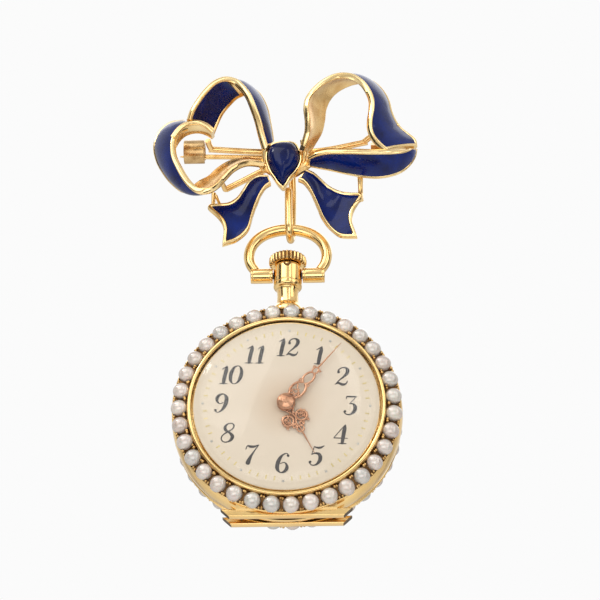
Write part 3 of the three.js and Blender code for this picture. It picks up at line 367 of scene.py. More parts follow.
def spline(pts, n, closed=False):
    """centripetal Catmull-Rom through points, n+1 samples evenly spaced along it"""
    P = np.asarray(pts, float); m = len(P)
    if closed: idx = lambda i: P[i % m]
    else: idx = lambda i: P[i] if 0 <= i < m else (2 * P[0] - P[1] if i < 0 else 2 * P[-1] - P[-2])
    out = []
    for i in range(m if closed else m - 1):
        p0, p1, p2, p3 = idx(i - 1), idx(i), idx(i + 1), idx(i + 2)
        t0 = 0; t1 = t0 + max(np.linalg.norm(p1 - p0), 1e-6) ** 0.5; t2 = t1 + max(np.linalg.norm(p2 - p1), 1e-6) ** 0.5; t3 = t2 + max(np.linalg.norm(p3 - p2), 1e-6) ** 0.5
        for t in np.linspace(t1, t2, 24, endpoint=False):
            a1 = (t1 - t) / (t1 - t0) * p0 + (t - t0) / (t1 - t0) * p1; a2 = (t2 - t) / (t2 - t1) * p1 + (t - t1) / (t2 - t1) * p2; a3 = (t3 - t) / (t3 - t2) * p2 + (t - t2) / (t3 - t2) * p3
            b1 = (t2 - t) / (t2 - t0) * a1 + (t - t0) / (t2 - t0) * a2; b2 = (t3 - t) / (t3 - t1) * a2 + (t - t1) / (t3 - t1) * a3
            out.append((t2 - t) / (t2 - t1) * b1 + (t - t1) / (t2 - t1) * b2)
    if not closed: out.append(P[-1])
    else: out.append(out[0])
    Q = np.array(out); d = np.r_[0, np.cumsum(np.linalg.norm(np.diff(Q, axis=0), axis=1))]
    s = np.linspace(0, d[-1], n + 1)
    return np.stack([np.interp(s, d, Q[:, k]) for k in range(3)], 1) if P.shape[1] == 3 else np.stack([np.interp(s, d, Q[:, k]) for k in range(2)], 1)
def tube_vf(pts, rad, m=14, side=(0, 1, 0), flat=1.0, closed=False, n=None, caps=True):
    c = spline(pts, n or 8 * len(pts), closed) if n != 0 else np.asarray(pts, float)
    if closed: c = c[:-1]
    N = len(c); v, f = [], []
    prev = np.array(side, float)
    for i in range(N):
        t = c[(i + 1) % N] - c[i - 1] if closed else c[min(i + 1, N - 1)] - c[max(i - 1, 0)]
        t /= np.linalg.norm(t)
        u = prev - t * prev.dot(t); u /= np.linalg.norm(u); prev = u
        w = np.cross(t, u)
        r = rad(i / max(N - 1, 1)) if callable(rad) else rad
        for k in range(m):
            a = 2 * math.pi * k / m
            v.append(c[i] + r * flat * math.cos(a) * u + r * math.sin(a) * w)
    for i in range(N if closed else N - 1):
        for k in range(m):
            j = (i + 1) % N; f.append((i * m + k, i * m + (k + 1) % m, j * m + (k + 1) % m, j * m + k))
    if not closed and caps:
        f.append(tuple(range(m - 1, -1, -1))); f.append(tuple((N - 1) * m + k for k in range(m)))
    return v, f
def lathe_vf(profile, n=128, axis="Y", c=(0, 0), phase=0.0):
    """closed profile [[radius, height]]; axis Y: centre c=(x, w above the dial centre), height is y from the bezel plane; axis Z: c=(x, y), height is w"""
    v, f, m = [], [], len(profile)
    for i in range(n):
        a = phase + 2 * math.pi * i / n; ca, sa = math.cos(a), math.sin(a)
        for r, h in profile:
            v.append((c[0] + r * ca, WY + h, WZ + c[1] + r * sa) if axis == "Y" else (c[0] + r * ca, WY + c[1] + r * sa, WZ + h))
    for i in range(n):
        for j in range(m):
            i2, j2 = (i + 1) % n, (j + 1) % m
            if profile[j][0] == 0 and profile[j2][0] == 0: continue
            f.append((i * m + j, i2 * m + j, i2 * m + j2, i * m + j2))
    return v, f
def rnd(profile, seg=4, r=0.12):
    """rounds the corners of a closed profile"""
    P = np.asarray(profile, float); out = []
    m = len(P)
    for i in range(m):
        a, b, c = P[i - 1], P[i], P[(i + 1) % m]
        if b[0] == 0: out.append(tuple(b)); continue
        la, lc = np.linalg.norm(a - b), np.linalg.norm(c - b); k = min(r, la * 0.45, lc * 0.45)
        p, q = b + (a - b) / max(la, 1e-9) * k, b + (c - b) / max(lc, 1e-9) * k
        for t in np.linspace(0, 1, seg + 1): out.append(tuple((1 - t) ** 2 * p + 2 * t * (1 - t) * b + t * t * q))
    return out
LEFT_UPPER = ([[-13.16,-7.6,1.56],[-12.77,-7.9,2.78],[-12.06,-8.1,4.13],[-10.96,-8.2,5.87],[-9.59,-8.2,7.36],[-8.14,-8.2,7.88],[-6.8,-8.2,7.45],[-5.73,-8.2,6.3],[-4.85,-8.2,4.85],[-4.18,-8.0,3.06],[-3.59,-7.6,1.26],[-3.21,-7.0,-0.39],[-2.71,-6.2,-2.23]],
    [[-10.24,-3.8,1.23],[-9.68,-3.8,3.12],[-9.04,-3.8,4.87],[-7.99,-3.8,6.45],[-7.0,-3.8,7.67],[-5.99,-3.8,8.34],[-5.06,-3.8,8.97],[-4.11,-3.8,8.46],[-3.3,-3.8,7.31],[-2.61,-3.8,5.52],[-2.26,-4.0,3.46],[-1.97,-4.2,1.57],[-1.75,-4.4,-0.46]])
LEFT_LOWER = ([[-13.07,-7.6,0.54],[-14.21,-7.9,-0.34],[-14.82,-8.1,-1.71],[-14.9,-8.2,-3.25],[-14.67,-8.2,-4.8],[-14.04,-8.2,-6.36],[-13.29,-8.2,-7.91],[-12.35,-8.2,-9.31],[-11.16,-8.2,-10.24],[-9.87,-8.2,-10.27],[-8.72,-8.1,-9.5],[-7.78,-7.9,-8.15],[-6.66,-7.5,-6.54],[-5.14,-7.0,-5.41],[-2.96,-6.2,-5.1]],
    [[-13.78,-4.4,3.54],[-15.67,-4.2,3.4],[-17.12,-4.0,2.21],[-17.79,-4.0,-0.07],[-17.38,-4.0,-2.52],[-16.47,-4.0,-4.42],[-15.28,-4.2,-6.2],[-13.62,-4.7,-7.86],[-12.27,-5.2,-7.97],[-11.23,-5.4,-7.2],[-10.06,-5.4,-6.53],[-8.9,-5.4,-5.29],[-7.47,-5.4,-4.26],[-5.64,-5.3,-3.74],[-3.3,-4.8,-3.74]])
RIGHT_UPPER = ([[1.76,-6.2,-2.65],[2.11,-7.0,-1.77],[2.47,-7.7,-0.67],[2.48,-8.1,0.79],[2.29,-8.2,2.62],[2.55,-8.2,4.27],[3.48,-8.2,5.76],[4.88,-8.2,7.09],[6.6,-8.2,7.96],[8.46,-8.2,7.88],[9.91,-8.2,6.89],[10.84,-8.2,5.43],[11.34,-8.2,3.83],[11.33,-8.2,2.25],[11.05,-8.2,0.68],[10.99,-8.1,-0.66],[11.36,-8.0,-1.93],[12.13,-7.9,-2.97],[13.03,-7.8,-3.85]],
    [[2.49,-4.6,-2.1],[3.21,-4.1,-0.22],[4.07,-3.9,1.47],[4.47,-3.8,3.28],[4.68,-3.8,5.27],[5.29,-3.8,7.03],[6.24,-3.8,8.33],[7.59,-3.8,9.32],[9.08,-3.8,9.93],[10.7,-3.8,10.05],[11.9,-3.8,9.3],[12.95,-3.8,7.97],[13.63,-3.8,6.43],[13.96,-3.8,4.81],[14.47,-3.8,3.36],[15.17,-3.8,2.15],[16.15,-3.8,1.18],[17.05,-3.8,0.21],[17.27,-3.8,-0.9]])
RIGHT_LOWER = ([[16.32,-6.0,-2.61],[15.77,-6.8,-3.38],[14.85,-7.4,-3.95],[13.8,-7.8,-4.23],[12.5,-8.0,-4.33],[10.94,-8.0,-4.29],[8.99,-8.0,-4.2],[7.03,-7.9,-4.09],[5.33,-7.6,-3.91],[3.88,-7.0,-3.83],[2.81,-6.2,-3.88]],
    [[17.12,-3.9,-1.35],[16.92,-3.8,-2.54],[16.23,-3.8,-3.85],[15.16,-3.8,-4.91],[13.64,-3.8,-5.58],[11.92,-3.8,-5.85],[9.96,-3.8,-5.65],[7.86,-3.9,-5.2],[5.89,-4.0,-4.68],[4.19,-4.2,-4.38],[2.62,-4.4,-4.08]])
KNOT = [[-0.36,-1.23],[-1.55,-1.44],[-2.2,-1.97],[-2.46,-2.67],[-2.52,-3.6],[-2.38,-4.38],[-2.05,-5.32],[-1.52,-6.26],[-1.0,-7.12],[-0.47,-7.59],[-0.08,-7.06],[0.31,-6.3],[0.96,-5.46],[1.48,-4.47],[1.62,-3.54],[1.35,-2.29],[0.82,-1.49]]
LEFT_TAIL = [[[-2.5,-4.7,-5.48],[-3.81,-4.7,-5.34],[-4.99,-4.65,-6.09],[-5.84,-4.5,-7.45],[-6.63,-4.2,-8.48],[-7.75,-4.0,-9.1],[-8.92,-4.1,-9.29],[-10.14,-4.4,-9.6],[-10.32,-4.5,-9.96]],[[-2.09,-4.8,-6.94],[-2.74,-4.9,-7.46],[-3.32,-4.9,-8.37],[-3.77,-4.8,-9.37],[-4.17,-4.5,-10.32],[-4.57,-4.2,-11.58],[-5.08,-4.1,-13.48],[-6.47,-4.3,-15.08],[-8.26,-4.5,-15.92]]]
RIGHT_TAIL = [[[2.49,-4.7,-4.58],[3.54,-4.7,-5.15],[4.46,-4.65,-6.07],[5.37,-4.5,-7.0],[6.27,-4.2,-7.45],[7.18,-4.0,-7.73],[8.23,-4.1,-7.97],[9.41,-4.4,-8.25],[9.8,-4.5,-8.56]],[[1.45,-4.8,-6.4],[2.1,-4.9,-6.79],[2.89,-4.9,-7.89],[3.53,-4.8,-9.3],[4.11,-4.5,-10.73],[4.68,-4.2,-12.08],[5.58,-4.1,-13.48],[6.87,-4.3,-14.76],[9.07,-4.5,-15.07]]]

# ---------------------------------------------------------------- ribbons
def ribbon(name, front, rear, lift=0.35, side=1, nt=150, T=0.7, notch=None, inner=None, outer=(0.0, 1.0), body="brooch", rep=(), plain_inner=True, bw=0.46):
    """gold ribbon with beaded borders; enamel lies in the recess of the outer face over `outer`, and of the inner face over `inner` (fractions of the length)"""
    f, r = spline(front, nt), spline(rear, nt)
    us = np.unique(np.round(np.r_[np.linspace(0, 0.24, 13), np.linspace(0.24, 0.76, 9), np.linspace(0.76, 1, 13)], 4))
    nu = len(us)
    mid = (f + r) / 2
    tan = np.gradient(mid, axis=0); tan /= np.linalg.norm(tan, axis=1)[:, None]
    wv = r - f; W = np.linalg.norm(wv, axis=1)
    nrm = np.cross(tan, wv / W[:, None]); nrm /= np.linalg.norm(nrm, axis=1)[:, None]; nrm *= side
    L = np.r_[0, np.cumsum(np.linalg.norm(np.diff(mid, axis=0), axis=1))]
    ns = notch or (lambda u: 1.0)
    def surf(t, u):
        """point, normal, width and distance to the end at length fraction t and cross fraction u"""
        tt = t * ns(u) * nt; i = min(int(tt), nt - 1); k = tt - i
        F, R, N = f[i] * (1 - k) + f[i + 1] * k, r[i] * (1 - k) + r[i + 1] * k, nrm[i] * (1 - k) + nrm[i + 1] * k
        w = np.linalg.norm(R - F)
        return F + (R - F) * u + N * lift * 4 * u * (1 - u), N / np.linalg.norm(N), w, (L[-1] * ns(u)) * (1 - t), L[-1] * ns(u) * t
    def bead(d, b):
        if d < b: return 0.15 * math.sin(math.pi * min(max(d / b, 0), 1)) ** 0.6 - 0.04
        return -0.11 if d > b * 1.25 else -0.04 - 0.07 * (d / b - 1) / 0.25
    ts = np.unique(np.r_[np.linspace(0, 1, nt // 2 + 1), np.linspace(0.93, 1, 12), np.linspace(0, 0.05, 6)])
    O, I, EO = [], [], []
    rec_out, rec_in = outer is not None, inner is not None
    for t in ts:
        ro, ri, re = [], [], []
        for u in us:
            p, n, w, de, ds = surf(t, u)
            b = min(bw, 0.24 * w); d = min(u, 1 - u) * w
            dd = min(d, de + 0.02) if notch or True else d
            ho = bead(dd, b) if outer is not None else 0.02 * math.sin(math.pi * min(1, d / b))
            hi = bead(d, b) if inner is not None else 0.02
            edge = 0.12 * max(0.0, 1 - d / (0.35 * b)) ** 2
            ro.append(p + n * (ho - edge * 0.3)); ri.append(p - n * (T + hi - edge))
            re.append(p + n * (0.02 + 0.05 * (4 * u * (1 - u))) if min(d, de) > 0 else p)
        O.append(ro); I.append(ri)
    A_ = Acc(); m = len(ts)
    v = [q for row in O for q in row] + [q for row in I for q in row]
    off = m * nu; fs = []
    for i in range(m - 1):
        for k in range(nu - 1):
            a = i * nu + k; fs.append((a, a + nu, a + nu + 1, a + 1)); fs.append((off + a, off + a + 1, off + a + nu + 1, off + a + nu))
    for i in range(m - 1):
        for k in (0, nu - 1):
            a = i * nu + k; fs.append((a, a + nu, off + a + nu, off + a))
    for i in (0, m - 1):
        for k in range(nu - 1):
            a = i * nu + k; fs.append((a, a + 1, off + a + 1, off + a))
    o = obj("gold_" + name, v, fs, GOLD_EDGE if rec_out else GOLD, body=body, rep=rep, slot="gold", angle=50, mats=[GOLD_EDGE, GOLD_CAST], fmat=[1 if (j < 2 * (m - 1) * (nu - 1) and j % 2 == 1) else 0 for j in range(len(fs))])
    def panel(nm, span, face):
        vv, ff = [], []
        tt = np.linspace(span[0], span[1], 110); uu = np.linspace(0.0, 1.0, 15)
        for q, t in enumerate(tt):
            for u0 in uu:
                p, n, w, de, ds = surf(t, 0.5); b = min(bw, 0.24 * w) * 0.62
                u = b / w + (1 - 2 * b / w) * u0
                p, n, w, de, ds = surf(t, u)
                edge = min(1.0, 3.2 * min(u0, 1 - u0)) ; h = -0.05 + 0.09 * edge ** 0.5 + 0.03 * 4 * u0 * (1 - u0)
                h *= 1 if 0.008 < (t - span[0]) else 0.3
                vv.append(p + n * h if face > 0 else p - n * (T + h))
        mt, mu = len(tt), len(uu)
        for i in range(mt - 1):
            for k in range(mu - 1):
                a = i * mu + k; ff.append((a, a + mu, a + mu + 1, a + 1) if face > 0 else (a, a + 1, a + mu + 1, a + mu))
        # close the panel underneath so that it has thickness
        base = len(vv)
        for q, t in enumerate(tt):
            for u0 in uu:
                a = vv[q * mu + int(round(u0 * (mu - 1)))]; p, n, w, de, ds = surf(t, 0.5)
                vv.append(a - n * 0.16 * face)
        for i in range(mt - 1):
            for k in range(mu - 1):
                a = base + i * mu + k; ff.append((a, a + 1, a + mu + 1, a + mu) if face > 0 else (a, a + mu, a + mu + 1, a + 1))
        ring = [i * mu for i in range(mt)] + [(mt - 1) * mu + k for k in range(1, mu)] + [i * mu + mu - 1 for i in range(mt - 2, -1, -1)] + [k for k in range(mu - 2, 0, -1)]
        for a, b in zip(ring, ring[1:] + ring[:1]): ff.append((a, b, b + base, a + base))
        return obj(nm, vv, ff, ENAMEL, body=body, slot="enamel", angle=60)
    if outer is not None:
        e = panel("enamel_fill_" + name, outer, 1)
        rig.replaces(e, "enamel_" + name)
    if inner is not None: panel("enamel_inner_" + name, inner, -1)
    return surf
EMAX = 0.985
TAIL_SIDE = (1, -1)
ribbon("left_upper", *LEFT_UPPER, lift=0.3, side=1, rep=("ribbon_left_upper",), outer=(0.02, EMAX), inner=(0.02, 0.40))
ribbon("left_lower", *LEFT_LOWER, lift=0.3, side=-1, rep=("ribbon_left_lower",), outer=(0.0, 0.60))
ribbon("right_upper", *RIGHT_UPPER, lift=0.3, side=1, rep=("ribbon_right_upper",), outer=(0.36, EMAX))
ribbon("right_lower", *RIGHT_LOWER, lift=0.2, side=1, rep=("ribbon_right_lower",), outer=(0.012, EMAX))
ribbon("left_tail", *LEFT_TAIL, lift=0.15, side=TAIL_SIDE[0], rep=("ribbon_left_tail",), outer=(0.02, 0.955), notch=lambda u: 1 - 0.10 * math.sin(math.pi * u) ** 1.5, T=0.6)
ribbon("right_tail", *RIGHT_TAIL, lift=0.15, side=TAIL_SIDE[1], rep=("ribbon_right_tail",), outer=(0.02, 0.955), notch=lambda u: 1 - 0.10 * math.sin(math.pi * u) ** 1.5, T=0.6)

# the rolled fold that joins the upper left loop to the crescent, with its thick bright lip
fold_f = [(-14.72, -8.05, -1.5), (-14.1, -7.9, -0.35), (-13.45, -7.75, 0.45), (-12.6, -7.6, 0.95), (-11.6, -7.4, 1.08), (-10.6, -7.1, 0.80), (-9.75, -6.7, 0.15)]
fold_r = [(-14.75, -4.9, -1.3), (-14.2, -4.8, -0.1), (-13.5, -4.7, 0.75), (-12.6, -4.6, 1.2), (-11.6, -4.5, 1.3), (-10.7, -4.4, 1.0), (-9.95, -4.3, 0.5)]
ribbon("left_fold", fold_f, fold_r, lift=0.2, side=-1, nt=70, T=0.55, outer=None, inner=None)
acc = Acc(); acc.add(*tube_vf(fold_f, lambda t: 0.20 + 0.20 * math.sin(math.pi * min(1, t * 1.6 + 0.1) / 2) - 0.12 * t, m=14, n=60))
obj("fold_lip", acc.v, acc.f, GOLD_EDGE, body="brooch", slot="gold")
# ---------------------------------------------------------------- knot
KC = np.mean(np.array(KNOT), axis=0)
KO = spline(KNOT, 96, closed=True)[:-1]
def knot_layers(name, layers, mat, rep, slot):
    v, f = [], []; n = len(KO)
    for k, y in layers:
        for p in KO: q = KC + (p - KC) * k; v.append((q[0], y, q[1]))
    for l in range(len(layers) - 1):
        for i in range(n): j = (i + 1) % n; f.append((l * n + i, l * n + j, (l + 1) * n + j, (l + 1) * n + i))
    f.append(tuple(range(n))); f.append(tuple((len(layers) - 1) * n + i for i in range(n)))
    return obj(name, v, f, mat, body="brooch", rep=rep, slot=slot, angle=45)
KY = -5.55
knot_layers("knot_enamel", [(0.99, KY + 0.2), (1.0, KY - 0.15)] + [(math.cos(a) ** 0.75, KY - 0.15 - 1.6 * math.sin(a)) for a in np.linspace(0.05, 1.53, 16)], ENAMEL_KNOT, ("knot_cabochon",), "enamel")
rim = [(1.0, KY + 0.2), (1.03, KY - 0.12), (1.07, KY - 0.22), (1.12, KY - 0.20), (1.165, KY - 0.02), (1.17, KY + 0.4), (1.12, KY + 0.95), (0.9, KY + 1.05)]
knot_layers("knot_cup", rim, GOLD_EDGE, ("knot_setting",), "gold")
# soldered seat behind the knot, where the ribbons meet
v, f = [], []; n = 72; lay = [(0.70, -5.1), (1.0, -5.0), (1.06, -4.75), (1.0, -4.45), (0.7, -4.35)]
for k, y in lay:
    for i in range(n):
        a = 2 * math.pi * i / n; q = np.array([3.05 * math.cos(a) * (1 + 0.10 * math.cos(4 * a)), 2.05 * math.sin(a)]) * k; v.append((-0.25 + q[0], y, -4.0 + q[1]))
for l in range(len(lay) - 1):
    for i in range(n): j = (i + 1) % n; f.append((l * n + i, l * n + j, (l + 1) * n + j, (l + 1) * n + i))
f.append(tuple(range(n))); f.append(tuple(4 * n + i for i in range(n)))
obj("knot_seat", v, f, GOLD_CAST, body="brooch", slot="gold", angle=50)
# two small gold collars where the loops enter the knot
acc = Acc()
for pts, rr in (([(-2.75, -5.9, -0.6), (-2.95, -5.4, -2.2), (-2.9, -5.0, -3.9)], 0.36), ([(1.95, -5.9, -0.9), (2.3, -5.4, -2.4), (2.15, -5.0, -3.9)], 0.36)):
    acc.add(*tube_vf(pts, lambda t, rr=rr: rr * (0.6 + 0.4 * math.sin(math.pi * t)), m=12, n=20))
obj("knot_side_beads", acc.v, acc.f, GOLD_EDGE, body="brooch", slot="gold")

# ---------------------------------------------------------------- frame, pin, hook
acc = Acc()
acc.add(*tube_vf([(-10.6, -1.6, 0.7), (-3.1, -1.6, 0.1), (4, -1.6, 0.1), (10.6, -1.75, 1.3)], 0.42, m=16, n=60))
acc.add(*tube_vf([(-0.6, -1.6, -0.2), (-0.6, -2.6, -1.0), (-0.6, -3.4, -1.6)], 0.55, m=14, n=12))
acc.add(*tube_vf([(-10.2, -1.6, 0.6), (-10.5, -2.6, 0.8), (-10.6, -3.4, 0.9)], 0.4, m=14, n=12))
acc.add(*tube_vf([(10.0, -1.7, 1.2), (11.2, -2.5, 1.8), (12.4, -3.4, 2.4)], 0.4, m=14, n=12))
obj("frame_bar", acc.v, acc.f, GOLD_CAST, body="brooch", rep=("brooch_frame",), slot="gold")
v, f = tube_vf([(-1.6, -2.3, -2.6), (-3.4, -2.2, -3.3), (-6.0, -2.05, -4.7), (-8.3, -1.9, -5.9), (-8.42, -1.9, -5.97)], lambda t: 0.42 if t < 0.97 else 0.30, m=16, n=60)
obj("brace_rod", v, f, GOLD_CAST, body="brooch", rep=("rear_brace",), slot="gold")
# short soldered legs that carry the brace and the frame bar
acc = Acc()
for pts in ([(-1.6, -2.3, -2.6), (-1.5, -3.2, -2.9), (-1.4, -4.6, -3.2)], [(-8.3, -1.9, -5.9), (-8.6, -3.4, -5.75), (-8.95, -5.35, -5.5)],
            [(-0.6, -3.3, -1.55), (-0.6, -4.0, -2.1), (-0.6, -4.7, -2.7)], [(12.4, -3.3, 2.35), (13.5, -3.6, 2.4), (14.9, -3.95, 2.3)]):
    acc.add(*tube_vf(pts, 0.34, m=12, n=16))
obj("frame_legs", acc.v, acc.f, GOLD_CAST, body="brooch", slot="gold")
acc = Acc()
acc.add(*tube_vf([(-9.7, -3.1, -7.2), (-9.75, -3.1, -8.6), (-9.8, -3.1, -9.95)], lambda t: 0.33 - 0.06 * math.sin(math.pi * t), m=14, n=20)); acc.add(*tube_vf([(-9.4, -3.1, -7.5), (-9.0, -3.1, -8.6), (-8.5, -3.1, -9.7)], 0.2, m=12, n=14))
obj("link_left", acc.v, acc.f, GOLD_EDGE, body="brooch", rep=("strut_left",), slot="gold")
v, f = tube_vf([(9.6, -3.3, -5.25), (9.6, -3.05, -7.0), (9.6, -3.05, -8.65)], lambda t: 0.4 - 0.07 * math.sin(math.pi * t), m=14, n=20)
obj("link_right", v, f, GOLD_EDGE, body="brooch", rep=("strut_right",), slot="gold")
v, f = tube_vf([(9.6, -3.3, -7.9), (9.62, -3.8, -8.7), (9.45, -4.25, -9.4), (9.05, -4.5, -9.95), (8.7, -4.55, -10.5)], lambda t: 0.34 - 0.14 * t, m=14, n=40)
obj("tail_curl", v, f, GOLD_EDGE, body="brooch", slot="gold")
hy, hz, HR = WY + 3.6, WZ + 27.42, 1.42
hp = [(0.12, hy - HR, -6.3), (0.12, hy - HR, -8.6), (0.14, hy - HR, -10.6)]
for i in range(0, 13):
    a = math.pi * i / 12; hp.append((0.14 + 0.32 * i / 12, hy - HR * math.cos(a), hz - HR * math.sin(a)))
hp += [(0.5, hy + HR, -10.2), (0.55, hy + HR, -6), (0.5, -0.35, -3.2), (0.4, -1.0, -1.35), (0.35, -1.3, -0.65)]
v, f = tube_vf(hp, lambda t: 0.5 if t > 0.03 else 0.5 * math.sqrt(max(0.02, 1 - ((0.03 - t) / 0.03) ** 2)), m=18, n=150, side=(1, 0, 0))
obj("hook_wire", v, f, GOLD_CASE, body="brooch", rep=("suspension_hook",), slot="gold")
acc = Acc()
acc.add(*tube_vf([(11.2, 0, 0.5), (6, 0, 0.3), (-1, 0, 0.18), (-8, 0, 0.45), (-13.0, 0, 0.6), (-14.6, 0, 0.63)], lambda t: 0.34 if t < 0.93 else max(0.06, 0.34 * (1 - ((t - 0.93) / 0.07) ** 1.4 * 0.85)), m=16, n=120))
q2 = math.sqrt(0.5)
ring = [(11.9 + 0.66 * math.cos(a), 0 + 0.66 * math.sin(a) * q2, 0.55 - 0.66 * math.sin(a) * q2) for a in np.linspace(0, 2 * math.pi, 25)[:-1]]
acc.add(*tube_vf(ring, 0.27, m=12, n=72, closed=True, side=(0, q2, q2)))
obj("pin_wire", acc.v, acc.f, GOLD_CAST, body="pin", rep=("pin_stem",), slot="gold")
# catch strip bent round the pin, with the mouth facing back and down
cv, cf = [], []; n = 64
sec = [(-14.0, -0.2), (-13.9, -0.2), (-11.3, -0.2), (-11.2, -0.2), (-11.2, 0.2), (-11.3, 0.2), (-13.9, 0.2), (-14.0, 0.2)]
sec = rnd([(-14.0, -0.2), (-11.2, -0.2), (-11.2, 0.2), (-14.0, 0.2)], 4, 0.15); m = len(sec)
for i in range(n + 1):
    a = -math.pi / 4 + (0.62 + (2 * math.pi - 1.24) * i / n)
    for x, d in sec: cv.append((x, -0.35 + (1.45 + d) * math.cos(a), 1.05 + (1.45 + d) * math.sin(a)))
for i in range(n):
    for k in range(m): cf.append((i * m + k, i * m + (k + 1) % m, (i + 1) * m + (k + 1) % m, (i + 1) * m + k))
cf.append(tuple(range(m))); cf.append(tuple(n * m + k for k in range(m)))
# the catch takes the darker brown gold: painted shade
obj("catch_strip", cv, cf, GOLD_SHADE, body="brooch", rep=("pin_catch",), slot="gold")

# ---------------------------------------------------------------- bow, pendant, crown
by, bz = WY + 3.6, WZ + 20.4
bow_pts = [(-4.2, 21.1), (-4.85, 22.2), (-5.05, 23.6), (-4.6, 25.1), (-3.47, 26.35), (-1.83, 27.1), (0, 27.35), (1.83, 27.1), (3.47, 26.35), (4.6, 25.1), (5.05, 23.6), (4.85, 22.2), (4.2, 21.1)]
acc = Acc()
acc.add(*tube_vf([(x, by, WZ + w) for x, w in bow_pts], lambda t: 0.66 + 0.10 * math.sin(math.pi * t), m=24, n=140))
for sg in (-1, 1):
    prof = rnd([(0.48, 4.52), (0.58, 4.78), (0.92, 4.80), (0.98, 4.68), (0.98, 4.58), (0.93, 4.52), (0.98, 4.45), (0.98, 2.3), (0.93, 2.22), (0.98, 2.14), (0.96, 1.95), (0.48, 1.95)], 3, 0.05)
    v, f = [], []; n = 48
    for i in range(n):
        a = 2 * math.pi * i / n
        for r, x in prof: v.append((sg * x, by + r * math.cos(a), bz + r * math.sin(a)))
    m = len(prof)
    for i in range(n):
        for k in range(m): f.append((i * m + k, ((i + 1) % n) * m + k, ((i + 1) % n) * m + (k + 1) % m, i * m + (k + 1) % m))
    acc.add(v, f)
obj("bow_ring", acc.v, acc.f, GOLD_CASE, body="bow", rep=("bow",), slot="gold")
for sg, nm in ((-1, "left"), (1, "right")):
    v, f = [], []; n = 32; prof = [(0.0, 1.86), (0.44, 1.86), (0.44, 4.42), (0.38, 4.5), (0.0, 4.52)]; m = len(prof)
    for i in range(n):
        a = 2 * math.pi * i / n
        for r, x in prof: v.append((sg * x, by + r * math.cos(a), bz + r * math.sin(a)))
    for i in range(n):
        for k in range(m - 1): f.append((i * m + k, ((i + 1) % n) * m + k, ((i + 1) % n) * m + k + 1, i * m + k + 1))
    obj("bow_pivot_" + nm, v, f, SCREWDARK, body="bow", rep=("bow_screw_" + nm,), slot="steel")
pp = [(0.52, 14.55), (1.95, 14.42), (2.03, 14.6), (2.0, 14.95), (1.88, 15.35), (1.62, 15.7), (1.45, 16.05), (1.38, 16.6), (1.35, 17.2), (1.37, 17.9), (1.44, 18.2), (1.70, 18.40), (1.84, 18.6), (1.84, 19.0), (1.79, 19.1), (1.84, 19.2), (1.84, 21.3), (1.80, 21.5), (1.72, 21.66), (1.2, 21.72), (0.82, 21.72), (0.82, 20.6), (0.52, 20.55)]
v, f = lathe_vf(rnd(pp, 3, 0.10), 96, "Z", (0, 3.6))
# the foot follows the round of the case, and the collar has a small notch in front
vv = []
for x, y, z in v:
    w = z - WZ
    if w < 15.0:
        k = (15.0 - w) / 0.6; foot = math.sqrt(max(1.0, 14.55 ** 2 - x * x)); w = w * (1 - min(1, k)) + (foot + (w - 14.42) * 0.4) * min(1, k) if w < 14.62 else w
    vv.append((x, y, WZ + w))
obj("pendant_neck", vv, f, GOLD_CASE, body="case", rep=("pendant",), slot="gold", angle=50)
# the notch is drawn as a small tube in very dark gold: painted shade of the notch
acc = Acc()
acc.add(*tube_vf([(-0.42, WY + 1.86, WZ + 21.62), (-0.30, WY + 1.74, WZ + 21.2), (0.0, WY + 1.70, WZ + 21.05), (0.30, WY + 1.74, WZ + 21.2), (0.42, WY + 1.86, WZ + 21.62)], 0.13, m=10, n=24))
obj("collar_notch", acc.v, acc.f, GOLD_PAINTED_RECESS_SHADE, body="case", slot="gold")
# crown: rounded flutes under a domed, stepped top
NF = 28; v, f = [], []; n = NF * 8
def flute(a, r, depth): return r - 1.35 * depth * (0.5 - 0.5 * math.cos(a * NF)) ** 0.9
prof = [(0.86, 21.84, 0), (2.1, 21.82, 0.05), (2.28, 21.86, 0.10), (2.42, 22.0, 0.17), (2.44, 22.2, 0.19), (2.44, 22.6, 0.19), (2.42, 22.82, 0.17), (2.30, 22.97, 0.10), (2.1, 23.06, 0.03), (1.9, 23.08, 0), (1.75, 23.05, 0), (1.6, 23.12, 0), (1.3, 23.32, 0), (0.9, 23.48, 0), (0.4, 23.58, 0), (0.0, 23.6, 0)]
m = len(prof)
for i in range(n):
    a = 2 * math.pi * i / n
    for r, w, d in prof: rr = flute(a, r, d); v.append((rr * math.cos(a), WY + 3.6 + rr * math.sin(a), WZ + w))
for i in range(n):
    for k in range(m - 1): f.append((i * m + k, ((i + 1) % n) * m + k, ((i + 1) % n) * m + k + 1, i * m + k + 1))
base = len(v); v += [(0.86 * math.cos(2 * math.pi * i / n), WY + 3.6 + 0.86 * math.sin(2 * math.pi * i / n), WZ + 22.1) for i in range(n)]
for i in range(n): f.append((i * m, base + i, base + (i + 1) % n, ((i + 1) % n) * m))
f.append(tuple(base + i for i in range(n)))
# the groove faces between the flutes take the very dark gold: painted shade in the grooves
fm = []
for q in f:
    c = np.mean([v[i] for i in q], axis=0); a = math.atan2(c[1] - WY - 3.6, c[0]); rr = math.hypot(c[0], c[1] - WY - 3.6); w = c[2] - WZ
    fm.append(1 if (rr > 2.0 and w < 22.95 and math.cos(a * NF) < -0.35) else 0)
obj("crown_fluted", v, f, GOLD_CASE, body="crown", rep=("crown",), slot="gold", angle=60, mats=[GOLD_CASE, GOLD_PAINTED_RECESS_SHADE], fmat=fm)

